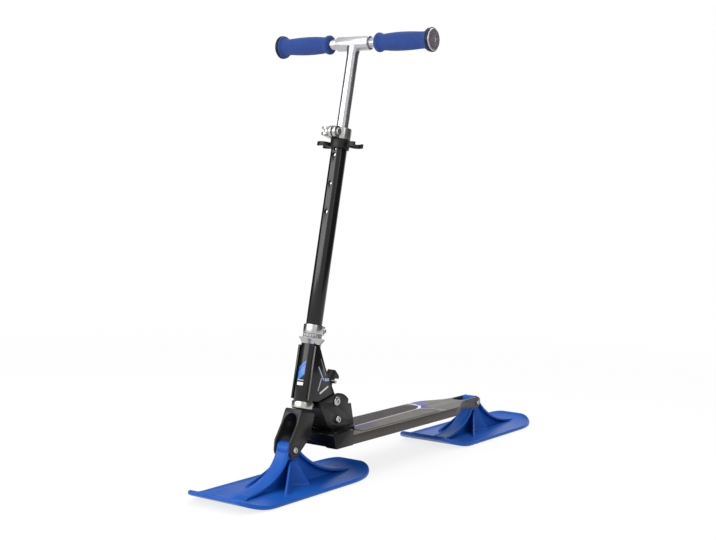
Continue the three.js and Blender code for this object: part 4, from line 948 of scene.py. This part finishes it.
def make_floor():
    """A wide pale floor that keeps a soft shadow and runs out into the white background."""
    bm = bmesh.new()
    bmesh.ops.create_grid(bm, x_segments=1, y_segments=1, size=20)
    floor = stood(bm, "floor")
    floor.location.z = -0.0004
    finish = Finish("floor_pale", base_color=(0.86, 0.86, 0.86, 1), roughness=0.9)
    ahead, aside, _ = finish.axes(finish.spot())
    distance = (ahead * ahead + aside * aside).root()
    seen = seen_as_background(finish)
    away = 1 - distance.below(1.6, 0.9)
    glow = finish.node("ShaderNodeEmission", None, {"Color": (1, 1, 1, 1), "Strength": 1.0})
    share = seen * finish.between(away, 0.8, 1.0)
    shader = Flow(finish, finish.shader.outputs[0])
    mixed = finish.node("ShaderNodeMixShader", None, [share, shader, glow])
    finish.plug(finish.tree.nodes["Material Output"].inputs["Surface"], mixed)
    floor.data.materials.append(finish.material)


def seen_as_background(finish):
    """1 for what the camera, a reflection or clear matter sees, and 0 for light that falls on a surface."""
    kinds = ("Camera", "Glossy", "Transmission")
    camera, glossy, clear = (finish.node("ShaderNodeLightPath", output=f"Is {kind} Ray") for kind in kinds)
    return camera.most(glossy).most(clear)


def light_world():
    world = bpy.data.worlds.new("studio")
    bpy.context.scene.world = world
    world.use_nodes = True
    finish = Finish.over(world.node_tree)
    background = world.node_tree.nodes["Background"]
    background.inputs["Color"].default_value = (1, 1, 1, 1)
    seen = seen_as_background(finish)
    finish.plug(background.inputs["Strength"], finish.between(seen, 0.62, 1.0))


def lamp(name, place, target, width, height, power):
    light = bpy.data.lights.new(name, "AREA")
    light.shape = "RECTANGLE"
    light.size, light.size_y = width, height
    light.energy = power
    piece = bpy.data.objects.new(name, light)
    bpy.context.scene.collection.objects.link(piece)
    piece.location = place
    piece.rotation_euler = (Vector(target) - Vector(place)).to_track_quat("-Z", "Y").to_euler()


def make_card(name, corners, grey):
    """A dark card beside the set: only reflections see it, so that bright metal gets its dark edges."""
    bm = bmesh.new()
    bmesh.ops.create_grid(bm, x_segments=1, y_segments=1, size=1)
    for vertex in bm.verts:
        (start, end), (low, high) = corners
        side = start if vertex.co.x < 0 else end
        vertex.co = (*side, low if vertex.co.y < 0 else high)
    card = stood(bm, name)
    for kind in ("camera", "diffuse", "transmission", "shadow", "volume_scatter"):
        setattr(card, f"visible_{kind}", False)
    finish = Finish(f"{name}_finish", base_color=(0, 0, 0, 1), specular_ior_level=0.0)
    clouds = finish.noise(finish.spot(), 3.0, 2.0)
    dark, light = ((*[level] * 3, 1) for level in (grey * 0.8, grey))
    finish.feed(emission_color=finish.blend(clouds, dark, light))
    finish.shader.inputs["Emission Strength"].default_value = 1.0
    card.data.materials.append(finish.material)


CARD_HEIGHTS = (0.02, 2.6)
CARDS = [
    ("dark_card_right", (((1.0, 2.8), (-2.9, 0.6)), CARD_HEIGHTS), 0.11),
    ("dark_card_left", (((-1.9, -2.0), (1.5, -2.4)), CARD_HEIGHTS), 0.06),
]
# Place, the point it faces, width, height and watts of each lamp
LAMPS = [
    ("key_softbox", (2.18, -0.53, 1.2), (0.15, 0, 0.45), 2.2, 1.2, 38),
    ("high_softbox", (1.6, -0.6, 2.8), (0.1, 0, 0.3), 1.4, 1.4, 16),
    ("fill_softbox", (0.4, 2.8, 1.6), (0, 0, 0.3), 1.6, 1.6, 20),
    ("top_softbox", (-0.8, 0, 2.8), (-0.1, 0, 0.2), 1.8, 1.2, 24),
]
make_floor()
light_world()
for card in CARDS:
    make_card(*card)
for softbox in LAMPS:
    lamp(*softbox)
bpy.context.scene.view_settings.view_transform = "Standard"
